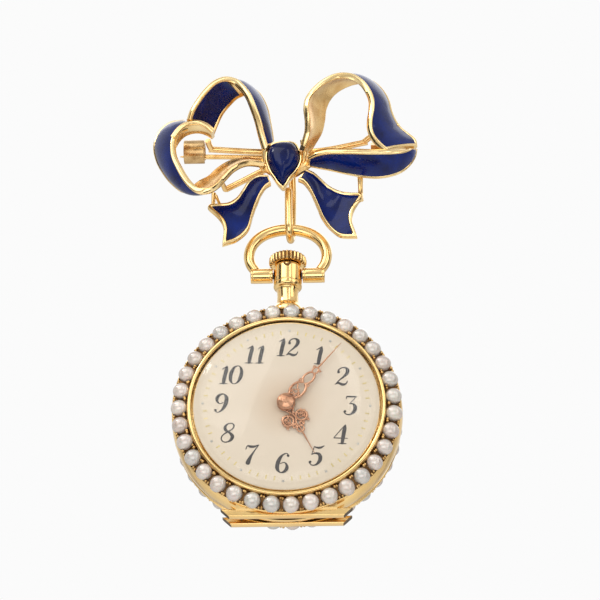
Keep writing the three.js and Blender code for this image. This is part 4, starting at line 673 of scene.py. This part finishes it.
# ---------------------------------------------------------------- case
def lathe(name, profile, mat, body, rep=(), slot="gold", n=160, r=0.1, seg=3, angle=45, c=(0, 0)):
    v, f = lathe_vf(rnd(profile, seg, r) if r else profile, n, "Y", c)
    return obj(name, v, f, mat, body=body, rep=rep, slot=slot, angle=angle)
def cutter(x0, x1, y0, y1, w0, w1):
    bpy.ops.mesh.primitive_cube_add(size=1); c = bpy.context.object
    c.scale = ((x1 - x0) * S, (y1 - y0) * S, (w1 - w0) * S); c.location = ((x0 + x1) / 2 * S, (WY + (y0 + y1) / 2) * S, (WZ + (w0 + w1) / 2) * S)
    return c
def cut(o, *cs):
    for c in cs:
        md = o.modifiers.new("cut", "BOOLEAN"); md.object = c; md.operation = "DIFFERENCE"; md.solver = "EXACT"
        bpy.context.view_layer.objects.active = o
        dg = bpy.context.evaluated_depsgraph_get()
        me = bpy.data.meshes.new_from_object(o.evaluated_get(dg)); o.modifiers.clear(); old = o.data; o.data = me
        bpy.data.objects.remove(c, do_unlink=True)
# the band between the two covers: rounded outside, with a bright edge each side
v, f = lathe_vf(rnd([(12.4, 1.55), (13.9, 1.55), (14.12, 1.66), (14.3, 1.95), (14.44, 2.5), (14.5, 3.22), (14.44, 3.95), (14.3, 4.5), (14.12, 4.8), (13.9, 4.9), (12.4, 4.9)], 3, 0.12), 200)
band = obj("case_middle", v, f, GOLD_CASE, slot="gold", angle=45)
cut(band, cutter(-7.7, 7.7, 1.2, 2.92, -16, -13.2), cutter(-7.7, 7.7, 3.58, 5.2, -16, -13.2))
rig.ride(band, "case"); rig.replaces(band, "case_band")

# front bezel: polished lip, seat for the pearls painted very dark as shade, thin outer edge
v, f = lathe_vf(rnd([(11.93, 0.35), (11.90, 0.12), (11.95, 0.02), (12.12, -0.06), (12.26, -0.04), (12.38, 0.05), (12.44, 0.22), (12.5, 0.48), (12.6, 0.72), (13.4, 1.0), (14.1, 1.22), (14.2, 1.0), (14.28, 1.0), (14.36, 1.2), (14.3, 1.45), (12.5, 1.5), (12.25, 1.0), (12.25, 0.36)], 2, 0.05), 220)
m = len(rnd([(11.93, 0.35), (11.90, 0.12), (11.95, 0.02), (12.12, -0.06), (12.26, -0.04), (12.38, 0.05), (12.44, 0.22), (12.5, 0.48), (12.6, 0.72), (13.4, 1.0), (14.1, 1.22), (14.2, 1.0), (14.28, 1.0), (14.36, 1.2), (14.3, 1.45), (12.5, 1.5), (12.25, 1.0), (12.25, 0.36)], 2, 0.05))
fm = []
for i in range(len(f)):
    a = v[f[i][0]]; rr = math.hypot(a[0], a[2] - WZ); yy = a[1] - WY
    fm.append(1 if (12.46 < rr < 14.16 and yy < 1.3) else 0)
obj("bezel_front", v, f, GOLD_CASE, body="bezel", rep=("front_bezel",), slot="gold", mats=[GOLD_CASE, GOLD_PAINTED_RECESS_SHADE], fmat=fm, angle=40)
# hinge bars: long shaped blocks with slanting ends, joined to the covers
def hinge_bar(name, yc, w_c, body, half, back):
    acc = Acc(); h, d = 0.52, 0.5
    sec = rnd([(-d, -h), (d, -h), (d, h), (-d, h)], 4, 0.2); m = len(sec)
    xs = [-1.0, -0.985, 0.985, 1.0]; v, f = [], []
    for xi in np.linspace(-1, 1, 41):
        for y, w in sec: v.append((xi * half + (0.55 * w / h * (1 if xi > 0 else -1)) * abs(xi) ** 12, WY + yc + y, WZ + w_c + w))
    n = 41
    for i in range(n - 1):
        for k in range(m): f.append((i * m + k, i * m + (k + 1) % m, (i + 1) * m + (k + 1) % m, (i + 1) * m + k))
    fm = [0] * len(f)
    f.append(tuple(range(m))); f.append(tuple((n - 1) * m + k for k in range(m))); fm += [1, 1]
    o = obj(name, v, f, GOLD_CASE, body=body, slot="gold", mats=[GOLD_CASE, DARKEND], fmat=fm, angle=45)
    # tongue from the cover to the bar
    acc = Acc(); y0, y1 = (1.2, yc) if not back else (yc, 5.3)
    v, f = [], []
    for x in np.linspace(-6.2, 6.2, 40):
        top = -math.sqrt(max(0, 13.9 ** 2 - x * x))
        for y, w in ((y0, max(top, -13.85) + 0.25), (y1, -13.6), (y1, w_c - 0.1), (y0, min(top, -13.5) - 0.1)): v.append((x, WY + y, WZ + w))
    for i in range(39):
        for k in range(4): f.append((i * 4 + k, i * 4 + (k + 1) % 4, (i + 1) * 4 + (k + 1) % 4, (i + 1) * 4 + k))
    f.append((0, 1, 2, 3)); f.append((156, 157, 158, 159))
    obj(name + "_tongue", v, f, GOLD_CASE, body=body, slot="gold", angle=45)
hinge_bar("hinge_bar_front", 2.05, -13.98, "bezel", 7.55, False)
hinge_bar("hinge_bar_back", 4.45, -13.98, "back", 7.45, True)

# pearls: half pearls with small prongs between them
def pearls(name, y0, sgn, body, rep, seed):
    rng = random.Random(seed); P = Acc(); G = Acc(); N = 35
    slope = 0.30
    for i in range(N):
        a = 2 * math.pi * (i + 0.5) / N; r0 = 13.42
        nrm = np.array([math.cos(a) * slope, sgn, math.sin(a) * slope]); nrm /= np.linalg.norm(nrm)
        ta = np.array([-math.sin(a), 0, math.cos(a)]); rd = np.cross(ta, nrm); rd /= np.linalg.norm(rd)
        if rd[0] * math.cos(a) + rd[2] * math.sin(a) < 0: rd = -rd
        c = np.array([r0 * math.cos(a), WY + y0, WZ + r0 * math.sin(a)])
        R = 1.10 * rng.uniform(0.955, 1.0); ex = rng.uniform(0.95, 1.0); hgt = rng.uniform(0.80, 0.92); tw = rng.uniform(-0.3, 0.3)
        v, f = [], []; nu, nvv = 22, 9
        for q in range(nvv):
            ph = -0.32 + (math.pi / 2 + 0.32) * q / (nvv - 1)
            for k in range(nu):
                th = 2 * math.pi * k / nu + tw
                rr = R * math.cos(ph) * (1 + 0.012 * math.sin(3 * th + i)); hh = R * hgt * math.sin(ph)
                v.append(c + ta * rr * math.cos(th) * ex + rd * rr * math.sin(th) * 0.985 + nrm * hh)
        for q in range(nvv - 1):
            for k in range(nu): f.append((q * nu + k, q * nu + (k + 1) % nu, (q + 1) * nu + (k + 1) % nu, (q + 1) * nu + k))
        f.append(tuple(range(nu))); P.add(v, f)
        # prongs between this pearl and the next, one near each edge of the ring
        am = a + math.pi / N
        for rp, sz, hh in ((12.78, 0.20, 0.34), (14.08, 0.20, 0.24)):
            for da in ((-0.012, 0.012) if rp < 13 else (-0.014, 0.014)):
                aa = am + da * rng.uniform(0.4, 1.3); rr = rp + rng.uniform(-0.05, 0.05)
                cc = np.array([rr * math.cos(aa), WY + y0 - sgn * (rr - r0) * slope + sgn * (hh - 0.1), WZ + rr * math.sin(aa)])
                v, f = [], []; s2 = sz * rng.uniform(0.72, 1.0)
                for q in range(5):
                    ph = -0.9 + (math.pi / 2 + 0.9) * q / 4
                    for k in range(8):
                        th = 2 * math.pi * k / 8; v.append(cc + ta * s2 * math.cos(ph) * math.cos(th) + rd * s2 * 1.15 * math.cos(ph) * math.sin(th) + nrm * s2 * 1.1 * math.sin(ph))
                for q in range(4):
                    for k in range(8): f.append((q * 8 + k, q * 8 + (k + 1) % 8, (q + 1) * 8 + (k + 1) % 8, (q + 1) * 8 + k))
                f.append(tuple(range(8))); G.add(v, f)
    obj(name, P.v, P.f, PEARL, body=body, rep=rep, slot="pearl", angle=70)
    obj(name + "_prongs", G.v, G.f, GOLD_PRONG, body=body, slot="gold", angle=70)
pearls("pearls_front", 0.72, -1, "bezel", ("front_pearls",), 3)
pearls("pearls_back", 5.84, 1, "back", ("back_pearls",), 5)

# back cover
bp = [(12.5, 4.98), (14.2, 5.02), (14.34, 5.2), (14.3, 5.42), (14.2, 5.45), (14.1, 5.32), (13.4, 5.55), (12.65, 5.85), (12.6, 6.1), (12.45, 6.45), (12.1, 6.72), (11.0, 7.1), (10.0, 7.36), (9.75, 7.5), (9.6, 7.44), (6, 7.9), (3, 8.06), (0, 8.1), (0, 7.5), (6, 7.3), (10, 6.8), (12.1, 6.2), (12.4, 5.6)]
v, f = lathe_vf(rnd(bp, 2, 0.08), 200)
# the seat ring for the back pearls takes the very dark gold: painted shade in the recess
fm = []
for q in f:
    a = v[q[0]]; rr = math.hypot(a[0], a[2] - WZ); fm.append(1 if (12.62 < rr < 14.12 and 5.25 < a[1] - WY < 5.95) else 0)
obj("back_cover_shell", v, f, GOLD_CASE, body="back", rep=("back_cover",), slot="gold", mats=[GOLD_CASE, GOLD_PAINTED_RECESS_SHADE], fmat=fm, angle=40)
lathe("back_enamel_disc", [(0, 8.12), (6, 7.92), (9.55, 7.46), (9.6, 7.52), (9.5, 7.6), (8, 7.83), (6, 8.06), (3, 8.23), (0, 8.28)], GUILLOCHE, "back", ("back_enamel",), "enamel", n=160, r=0.03)
lathe("cuvette_cap", [(0, 6.2), (11.6, 6.02), (11.93, 5.5), (12.05, 5.5), (12.02, 6.0), (11.7, 6.3), (11.2, 6.36), (0, 6.5)], GOLD_CASE, "cuvette", ("cuvette",), n=128, r=0.08)
# crystal
cp = [(0, -2.3), (4, -2.16), (7, -1.88), (9, -1.57), (10.4, -1.22), (11.2, -0.92), (11.62, -0.52), (11.82, -0.08), (11.88, 0.42), (12.2, 0.44), (12.2, 0.74), (11.82, 0.74), (11.74, 0.3), (11.5, -0.2), (11.0, -0.65), (9.4, -1.1), (7.8, -1.36), (4, -1.75), (0, -1.9)]
v, f = lathe_vf(cp, 160); obj("crystal_dome", v, f, GLASS, body="bezel", rep=("crystal",), slot="crystal", angle=30)

# ---------------------------------------------------------------- dial
lathe("dial_plate", [(0.42, 0.0), (2, 0.009), (4, 0.037), (6, 0.083), (8, 0.147), (9.5, 0.208), (10.6, 0.258), (11.3, 0.294), (11.55, 0.31), (11.62, 0.36), (11.62, 0.7), (8, 0.55), (0.42, 0.4)], DIAL, "case", ("dial",), "dial", n=160, r=0.03)
v, f = lathe_vf([(11.60, 1.05), (11.60, 0.36), (11.66, 0.33), (11.72, 0.38), (11.74, 0.80), (12.15, 0.80), (12.15, 1.0), (11.9, 1.05)], 160)
obj("dial_ring", v, f, GOLD_CAST, body="case", slot="gold")
DR = math.radians(-2.0)      # the dial sits a little clockwise
def on_dial(x, w, y=1.075):
    """a point printed on the slightly domed dial; y counts from 1.1"""
    return (x * math.cos(DR) - w * math.sin(DR), WY + (y - 1.1) + 0.0023 * (x * x + w * w), WZ + x * math.sin(DR) + w * math.cos(DR))
def stroke(acc, pts, ox, ow, sc, sx, closed=False, y=1.078, n=None):
    P = np.array([(p[0], p[1], p[2]) for p in pts], float)
    C = spline(P, n or 10 * len(pts), closed)
    X = (C[:, 0] + 0.10 * C[:, 1]) * sx; Y_ = C[:, 1]; Wd = C[:, 2]
    Q = np.stack([X, Y_], 1); T = np.gradient(Q, axis=0); T /= np.maximum(np.linalg.norm(T, axis=1), 1e-9)[:, None]
    Nn = np.stack([-T[:, 1], T[:, 0]], 1)
    v, f = [], []
    for q, nn, w in zip(Q, Nn, Wd):
        for s in (-1, 1): a = q + nn * w * s; v.append(on_dial(ox + a[0] * sc, ow + a[1] * sc, y))
    for i in range(len(Q) - 1): f.append((2 * i, 2 * i + 1, 2 * i + 3, 2 * i + 2))
    for e in (0, len(Q) - 1):      # round ends
        b = len(v); k = 10
        for j in range(k): a = Q[e] + Wd[e] * np.array([math.cos(2 * math.pi * j / k), math.sin(2 * math.pi * j / k)]); v.append(on_dial(ox + a[0] * sc, ow + a[1] * sc, y - 0.0006))
        f.append(tuple(range(b, b + k)))
    acc.add(v, f)
DIG = {
 "1": [[(.30, .97, .02), (.29, .80, .085), (.27, .50, .09), (.26, .20, .09), (.26, .04, .07)], [(.29, .97, .02), (.20, .88, .03), (.10, .80, .02)], [(.10, .02, .022), (.26, .02, .03), (.42, .02, .022)]],
 "2": [[(.10, .72, .07), (.09, .84, .035), (.20, .96, .03), (.34, .97, .045), (.45, .86, .085), (.45, .68, .08), (.34, .48, .05), (.18, .28, .03), (.06, .08, .02)], [(.04, .06, .02), (.16, .13, .05), (.34, .06, .07), (.47, .10, .04), (.53, .26, .018)]],
 "3": [[(.08, .84, .02), (.10, .95, .03), (.26, .955, .045), (.46, .96, .03)], [(.48, .97, .018), (.36, .76, .02), (.25, .58, .018)], [(.25, .58, .02), (.40, .57, .045), (.50, .40, .09), (.48, .18, .085), (.34, .02, .04), (.18, .02, .03), (.08, .12, .03)], [(.10, .16, .06), (.11, .17, .06)]],
 "4": [[(.40, .98, .018), (.22, .66, .02), (.03, .31, .018)], [(.03, .30, .022), (.30, .30, .028), (.58, .30, .02)], [(.42, .98, .03), (.41, .80, .085), (.40, .45, .09), (.40, .05, .075)], [(.24, .02, .022), (.40, .02, .03), (.56, .02, .022)]],
 "5": [[(.16, .95, .018), (.28, .90, .045), (.42, .91, .055), (.55, 1.0, .02)], [(.16, .95, .018), (.13, .75, .018), (.10, .54, .018)], [(.10, .54, .018), (.22, .61, .035), (.38, .58, .07), (.47, .40, .09), (.45, .20, .085), (.32, .02, .04), (.16, .01, .028), (.06, .12, .03)], [(.08, .16, .06), (.09, .17, .06)]],
 "6": [[(.45, .86, .06), (.44, .87, .06)], [(.46, .90, .025), (.36, .985, .022), (.22, .90, .045), (.11, .68, .085), (.07, .42, .095), (.10, .18, .085), (.24, .01, .03), (.38, .05, .06), (.47, .22, .085), (.43, .42, .05), (.32, .52, .025), (.18, .46, .02)]],
 "7": [[(.05, .76, .02), (.10, .94, .03), (.22, .90, .065), (.36, .90, .055), (.54, .98, .025)], [(.54, .97, .02), (.42, .70, .03), (.31, .42, .06), (.25, .20, .095), (.23, .07, .11)]],
 "8": [[(.28, .54, .04), (.16, .64, .075), (.13, .80, .065), (.22, .95, .03), (.36, .98, .028), (.47, .88, .035), (.46, .72, .03), (.36, .60, .03), (.28, .54, .04), (.38, .46, .06), (.49, .30, .085), (.46, .12, .07), (.32, .01, .03), (.18, .01, .028), (.07, .12, .03), (.06, .28, .03), (.14, .42, .03), (.28, .54, .04)]],
 "0": [[(.30, .985, .022), (.18, .92, .05), (.09, .70, .085), (.06, .46, .09), (.10, .18, .07), (.22, .015, .022), (.30, .01, .022), (.42, .10, .05), (.50, .34, .085), (.52, .58, .085), (.46, .84, .06), (.36, .975, .022), (.30, .985, .022)]],
}
DIG["9"] = [[(.56 - x, 1 - y, w) for x, y, w in s] for s in DIG["6"]]
WID = {"1": .50, "0": .60}
acc = Acc(); NR, NH, SX = 8.05, 2.62, 1.16
for hour in range(1, 13):
    a = math.radians(90 - 30 * hour); s = str(hour)
    widths = [WID.get(c, .56) * SX * NH * (0.94 if len(s) == 2 else 1) for c in s]; tot = sum(widths)
    cx, cw = NR * math.cos(a) - 0.10, NR * math.sin(a)
    if hour in (10, 11, 12): tot *= 0.96
    x = cx - tot / 2 - 0.06 * NH
    for c, wd in zip(s, widths):
        for st in DIG[c]: stroke(acc, st, x, cw - NH / 2, NH, SX * (0.94 if len(s) == 2 else 1))
        x += wd * (0.92 if len(s) == 2 else 1)
obj("dial_numerals", acc.v, acc.f, INK, body="case", slot="dial", smooth=False)
acc = Acc(); star = Acc()
for k in range(60):
    a = math.radians(90 - 6 * k)
    if k % 5:
        for rr, ln, wd in ((10.15, 0.34, 0.05),):
            ca, sa = math.cos(a), math.sin(a); v = []
            for dr, dt in ((-ln / 2, -wd), (ln / 2, -wd * 0.8), (ln / 2, wd * 0.8), (-ln / 2, wd)): v.append(on_dial((rr + dr) * ca - dt * sa, (rr + dr) * sa + dt * ca, 1.080))
            acc.add(v, [(0, 1, 2, 3)])
        for q in (-1, 1):
            b = len(acc.v); cx, cw = (10.15 + q * 0.16) * math.cos(a), (10.15 + q * 0.16) * math.sin(a)
            acc.add([on_dial(cx + 0.105 * math.cos(j * 0.785), cw + 0.105 * math.sin(j * 0.785), 1.079) for j in range(8)], [tuple(range(8))])
    else:
        cx, cw = 10.45 * math.cos(a), 10.45 * math.sin(a)
        star.add([on_dial(cx + (0.26 if j % 2 == 0 else 0.10) * math.cos(j * math.pi / 5 + a), cw + (0.26 if j % 2 == 0 else 0.10) * math.sin(j * math.pi / 5 + a), 1.079) for j in range(10)], [tuple(range(10))])
        v, f = [], []
        for j in range(8): v.append(on_dial(cx + 0.09 * math.cos(j * 0.785), cw + 0.09 * math.sin(j * 0.785), 1.05))
        for j in range(8): v.append(on_dial(cx + 0.13 * math.cos(j * 0.785), cw + 0.13 * math.sin(j * 0.785), 1.082))
        star.add(v, [tuple(range(8))] + [(j, (j + 1) % 8, 8 + (j + 1) % 8, 8 + j) for j in range(8)])
obj("dial_minute_track", acc.v, acc.f, YELLOW, body="case", slot="gold", smooth=False)
obj("dial_hour_stars", star.v, star.f, STARW, body="case", slot="steel", smooth=False)

# ---------------------------------------------------------------- hands: pierced scrollwork
def hand_xf(deg, y):
    a = math.radians(90 - deg); ca, sa = math.cos(a), math.sin(a)
    return lambda l, t: (l * ca - t * sa, WY + y, WZ + l * sa + t * ca)
def scroll(acc, xf, pts, r, closed=False, n=None, m=8):
    g = 1.28; r = (lambda t, q=r: g * q(t)) if callable(r) else g * r
    acc.add(*tube_vf([xf(*p) for p in pts], r, m=m, n=n or 8 * len(pts), side=(0, 1, 0), flat=0.75, closed=closed))
def spiral(cx, ct, r0, turns, start, sg, k=12):
    return [(cx + r0 * (1 - 0.72 * q / (k * turns)) * math.cos(start + sg * 2 * math.pi * q / k), ct + r0 * (1 - 0.72 * q / (k * turns)) * math.sin(start + sg * 2 * math.pi * q / k)) for q in range(int(k * turns) + 1)]
mh = hand_xf(40, -0.45); acc = Acc()
for s in (-1, 1):
    scroll(acc, mh, [(0.7, 0.30 * s), (1.3, 0.55 * s), (1.7, 0.80 * s), (2.4, 0.86 * s), (3.1, 0.62 * s), (3.45, 0.2 * s)], 0.13, n=40)
    scroll(acc, mh, [(3.4, 0.12 * s), (3.8, 0.48 * s), (4.4, 0.60 * s), (5.0, 0.42 * s), (5.35, 0.08 * s)], 0.115, n=36)
    scroll(acc, mh, spiral(1.55, 0.30 * s, 0.34, 1.3, 0.4, s), 0.075, n=40)
    scroll(acc, mh, spiral(3.55, 0.52 * s, 0.26, 1.2, 2.6, -s), 0.07, n=30)
    scroll(acc, mh, [(5.2, 0.05 * s), (5.55, 0.34 * s), (5.95, 0.30 * s), (6.2, 0.06 * s)], 0.085, n=24)
    scroll(acc, mh, spiral(6.0, 0.42 * s, 0.20, 1.1, -1.2, s), 0.06, n=24)
scroll(acc, mh, [(1.9, -0.6), (2.2, -0.1), (2.5, 0.25), (2.9, 0.5)], 0.07, n=20); scroll(acc, mh, [(1.9, 0.6), (2.1, 0.2), (2.4, -0.2)], 0.06, n=16)
acc.add(*tube_vf([mh(6.1, 0), mh(7.4, 0), mh(9.2, 0), mh(10.75, 0)], lambda t: 0.13 - 0.095 * t, m=8, n=30, flat=0.8))
hubm = lathe_vf(rnd([(0.25, -0.62), (1.0, -0.60), (1.12, -0.48), (1.0, -0.36), (0.25, -0.34)], 3, 0.08), 64); acc.add(*hubm)
obj("minute_hand_pierced", acc.v, acc.f, ROSE, body="minute", rep=("minute_hand",), slot="rose_gold", angle=60)
hh = hand_xf(153, -0.2); acc = Acc()
for s in (-1, 1):
    scroll(acc, hh, [(0.6, 0.3 * s), (1.0, 0.42 * s), (1.35, 0.22 * s), (1.7, 0.12 * s)], 0.12, n=24)
    scroll(acc, hh, [(2.35 + 0.72 * math.cos(q * math.pi / 8), (0.92 + 0.66 * math.sin(q * math.pi / 8)) * s) for q in range(16)], 0.12, closed=True, n=56)
    scroll(acc, hh, spiral(2.35, 0.92 * s, 0.45, 1.6, 0.5, s), 0.075, n=44)
    scroll(acc, hh, [(1.6, 0.1 * s), (1.75, 0.5 * s), (2.0, 0.75 * s)], 0.09, n=16)
    scroll(acc, hh, spiral(3.35, 0.45 * s, 0.34, 1.3, 2.0, -s), 0.085, n=34)
    scroll(acc, hh, spiral(3.2, 1.35 * s, 0.20, 1.1, 0.0, s), 0.06, n=24)
    scroll(acc, hh, [(3.5, 0.1 * s), (3.85, 0.42 * s), (4.2, 0.38 * s), (4.4, 0.05 * s)], 0.08, n=22)
    for q in range(5):
        a = 0.5 + 0.55 * q; scroll(acc, hh, [(2.35 + 0.82 * math.cos(a), (0.92 + 0.76 * math.sin(a)) * s), (2.35 + 0.98 * math.cos(a), (0.92 + 0.90 * math.sin(a)) * s)], lambda t: 0.075 * (1 - 0.5 * t), n=4, m=6)
scroll(acc, hh, [(1.7, 0), (2.4, 0.12), (3.0, -0.12), (3.9, 0)], 0.11, n=30)
acc.add(*tube_vf([hh(3.9, 0), hh(5.2, 0), hh(6.6, 0), hh(7.75, 0)], lambda t: 0.12 - 0.085 * t, m=8, n=26, flat=0.8))
acc.add(*lathe_vf(rnd([(0.36, -0.32), (1.08, -0.30), (1.16, -0.20), (1.08, -0.10), (0.36, -0.08)], 3, 0.07), 64))
obj("hour_hand_pierced", acc.v, acc.f, ROSE, body="hour", rep=("hour_hand",), slot="rose_gold", angle=60)
cv, cf = lathe_vf(rnd([(0, -1.32), (0.22, -1.30), (0.40, -1.20), (0.46, -1.10), (0.52, -1.13), (0.78, -1.06), (1.02, -0.90), (1.16, -0.74), (1.14, -0.65), (0.24, -0.64), (0.23, 2.0), (0, 2.0)], 3, 0.04), 64)
obj("hand_cap", cv, cf, ROSE, body="minute", slot="rose_gold", angle=50)

# ---------------------------------------------------------------- movement: finer trim over the carried-over nodes
def paint(node, mat):
    o = frame["nodes"][node]; o.data.materials.clear(); o.data.materials.append(mat)
for k in ("main_plate", "centre_wheel", "third_wheel", "fourth_wheel", "balance_wheel", "hour_wheel", "minute_wheel", "mainspring_barrel"): paint(k, GILT)
for k in ("barrel_bridge", "train_bridge", "balance_cock"): paint(k, GILT_STRIPE)
for k in ("escape_wheel", "pallet_lever", "ratchet_wheel", "crown_wheel", "click", "winding_stem", "crown_sleeve"): paint(k, STEEL)
paint("hairspring", BLUED); paint("cannon_pinion", ROSE)
for k in ("pin_hinge", "pin_rivet"): paint(k, GOLD_CAST)
acc, jw = Acc(), Acc()
def cap(x, w, r, y0, h, into):
    v, f = lathe_vf(rnd([(0, y0), (r, y0), (r, y0 + h), (r * 0.8, y0 + h * 1.25), (0, y0 + h * 1.3)], 2, 0.04), 24, "Y", (x, w)); into.add(v, f)
for x, w in ((0, 0), (3.0, -1.9), (1.55, -4.4), (-0.9, -5.1), (-5.6, -3.3)): cap(x, w, 0.42, 5.64 if (x, w) != (-5.6, -3.3) else 5.57, 0.08, jw)
obj("bridge_jewels", jw.v, jw.f, RUBY, body="case", slot="enamel", angle=50)
for x, w in ((-9.9, 2.4), (3.8, 8.6), (8.6, 2.6), (7.0, -5.4), (0.8, -9.3), (-8.9, -5.6)): cap(x, w, 0.62, 5.63 if w != -5.6 else 5.56, 0.16, acc)
obj("bridge_screws", acc.v, acc.f, BLUED, body="case", slot="blued_steel", angle=50)
acc = Acc(); cap(-3.8, 3.84, 0.75, 5.91, 0.12, acc); obj("ratchet_screw", acc.v, acc.f, BLUED, body="ratchet", slot="blued_steel", angle=50)
acc = Acc(); cap(0.9, 7.0, 0.6, 5.91, 0.12, acc); obj("crown_wheel_screw", acc.v, acc.f, BLUED, body="crown_wheel", slot="blued_steel", angle=50)

# ---------------------------------------------------------------- stage
def plain(name, col, rough=0.7):
    m, nt, b = nodes_of(name)
    c = ramp(nt, noise(nt, 3.0, 2.0), [(0.3, tuple(x * 0.99 for x in col)), (0.7, col)])
    nt.links.new(c, b.inputs["Base Color"]); set_in(b, Roughness=rough)
    return m
STAGE = []
def card(name, c, size, look, mat):
    """flat card centred at c, facing the point `look`, metres"""
    c, look = Vector(c), Vector(look); n = (look - c).normalized(); q = n.to_track_quat("Z", "Y")
    x, y = q @ Vector((size[0] / 2, 0, 0)), q @ Vector((0, size[1] / 2, 0))
    me = bpy.data.meshes.new(name); me.from_pydata([tuple(c - x - y), tuple(c + x - y), tuple(c + x + y), tuple(c - x + y)], [], [(0, 1, 2, 3)]); me.materials.append(mat)
    o = bpy.data.objects.new(name, me); bpy.context.scene.collection.objects.link(o); STAGE.append(o)
    return o
FLOOR = plain("floor_pale", (0.97, 0.97, 0.965), 0.9); CARD = plain("card_dark", (0.02, 0.018, 0.016), 0.9)
card("floor", (0, 0, -0.40), (30, 30), (0, 0, 1), FLOOR)
MIDP = (0, 0, -0.02)
for nm, c, sz in (("card_left", (-0.30, -0.16, 0.02), (0.14, 0.46)), ("card_right", (0.32, -0.10, -0.06), (0.13, 0.44)), ("card_low", (0.02, -0.22, -0.30), (0.42, 0.11))):
    o = card(nm, c, sz, MIDP, CARD); o.visible_camera = False; o.visible_shadow = False; o.visible_diffuse = False
def area(name, c, size, power, look=MIDP, col=(1, 1, 1), shape="RECTANGLE"):
    d = bpy.data.lights.new(name, "AREA"); d.shape = shape; d.size, d.size_y = size; d.energy = power; d.color = col
    o = bpy.data.objects.new(name, d); bpy.context.scene.collection.objects.link(o); o.location = c
    o.rotation_euler = (Vector(look) - Vector(c)).to_track_quat("-Z", "Y").to_euler(); o.visible_camera = False
    return o
area("key_soft", (-0.30, -0.42, 0.38), (0.55, 0.55), 1.9)
area("fill_right", (0.48, -0.36, 0.10), (0.30, 0.60), 0.75)
area("low_front", (-0.06, -0.50, -0.24), (0.50, 0.22), 0.60)
area("sparkle", (-0.36, -0.17, 0.36), (0.08, 0.08), 0.36)
area("window", (0.20, -0.52, 0.34), (0.09, 0.34), 0.26)
area("top_back", (0.05, 0.34, 0.42), (0.6, 0.4), 0.7)
w = bpy.data.worlds.new("world"); bpy.context.scene.world = w; w.use_nodes = True; nt = w.node_tree; nt.nodes.clear()
out = nt.nodes.new("ShaderNodeOutputWorld"); tc = nt.nodes.new("ShaderNodeTexCoord"); sep = nt.nodes.new("ShaderNodeSeparateXYZ")
nt.links.new(tc.outputs["Generated"], sep.inputs[0])
fac = mathn(nt, "MULTIPLY_ADD", sep.outputs["Z"], 0.5, 0.5)
col = ramp(nt, fac, [(0.0, (0.52, 0.48, 0.43)), (0.34, (0.22, 0.20, 0.17)), (0.50, (0.52, 0.50, 0.48)), (0.66, (1.0, 1.0, 0.99)), (1.0, (0.86, 0.86, 0.87))])
bg1 = nt.nodes.new("ShaderNodeBackground"); bg1.inputs["Strength"].default_value = 0.86; nt.links.new(col, bg1.inputs["Color"])
bg2 = nt.nodes.new("ShaderNodeBackground"); bg2.inputs["Color"].default_value = (0.965, 0.965, 0.965, 1); bg2.inputs["Strength"].default_value = 1.0
lp = nt.nodes.new("ShaderNodeLightPath"); mx = nt.nodes.new("ShaderNodeMixShader")
nt.links.new(lp.outputs["Is Camera Ray"], mx.inputs[0]); nt.links.new(bg1.outputs[0], mx.inputs[1]); nt.links.new(bg2.outputs[0], mx.inputs[2]); nt.links.new(mx.outputs[0], out.inputs["Surface"])
sc = bpy.context.scene
sc.view_settings.view_transform = "Standard"; sc.view_settings.look = "None"; sc.view_settings.exposure = 0.0; sc.view_settings.gamma = 1.0
for o in STAGE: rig.stage(o)
bpy.context.view_layer.update()
VIS_BOX = [list(map(float, c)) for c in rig.bounds()]
try:
    json.dump({"cad_box_m": CAD_BOX, "visual_box_m": VIS_BOX}, open("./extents.json", "w"))
except OSError:
    pass
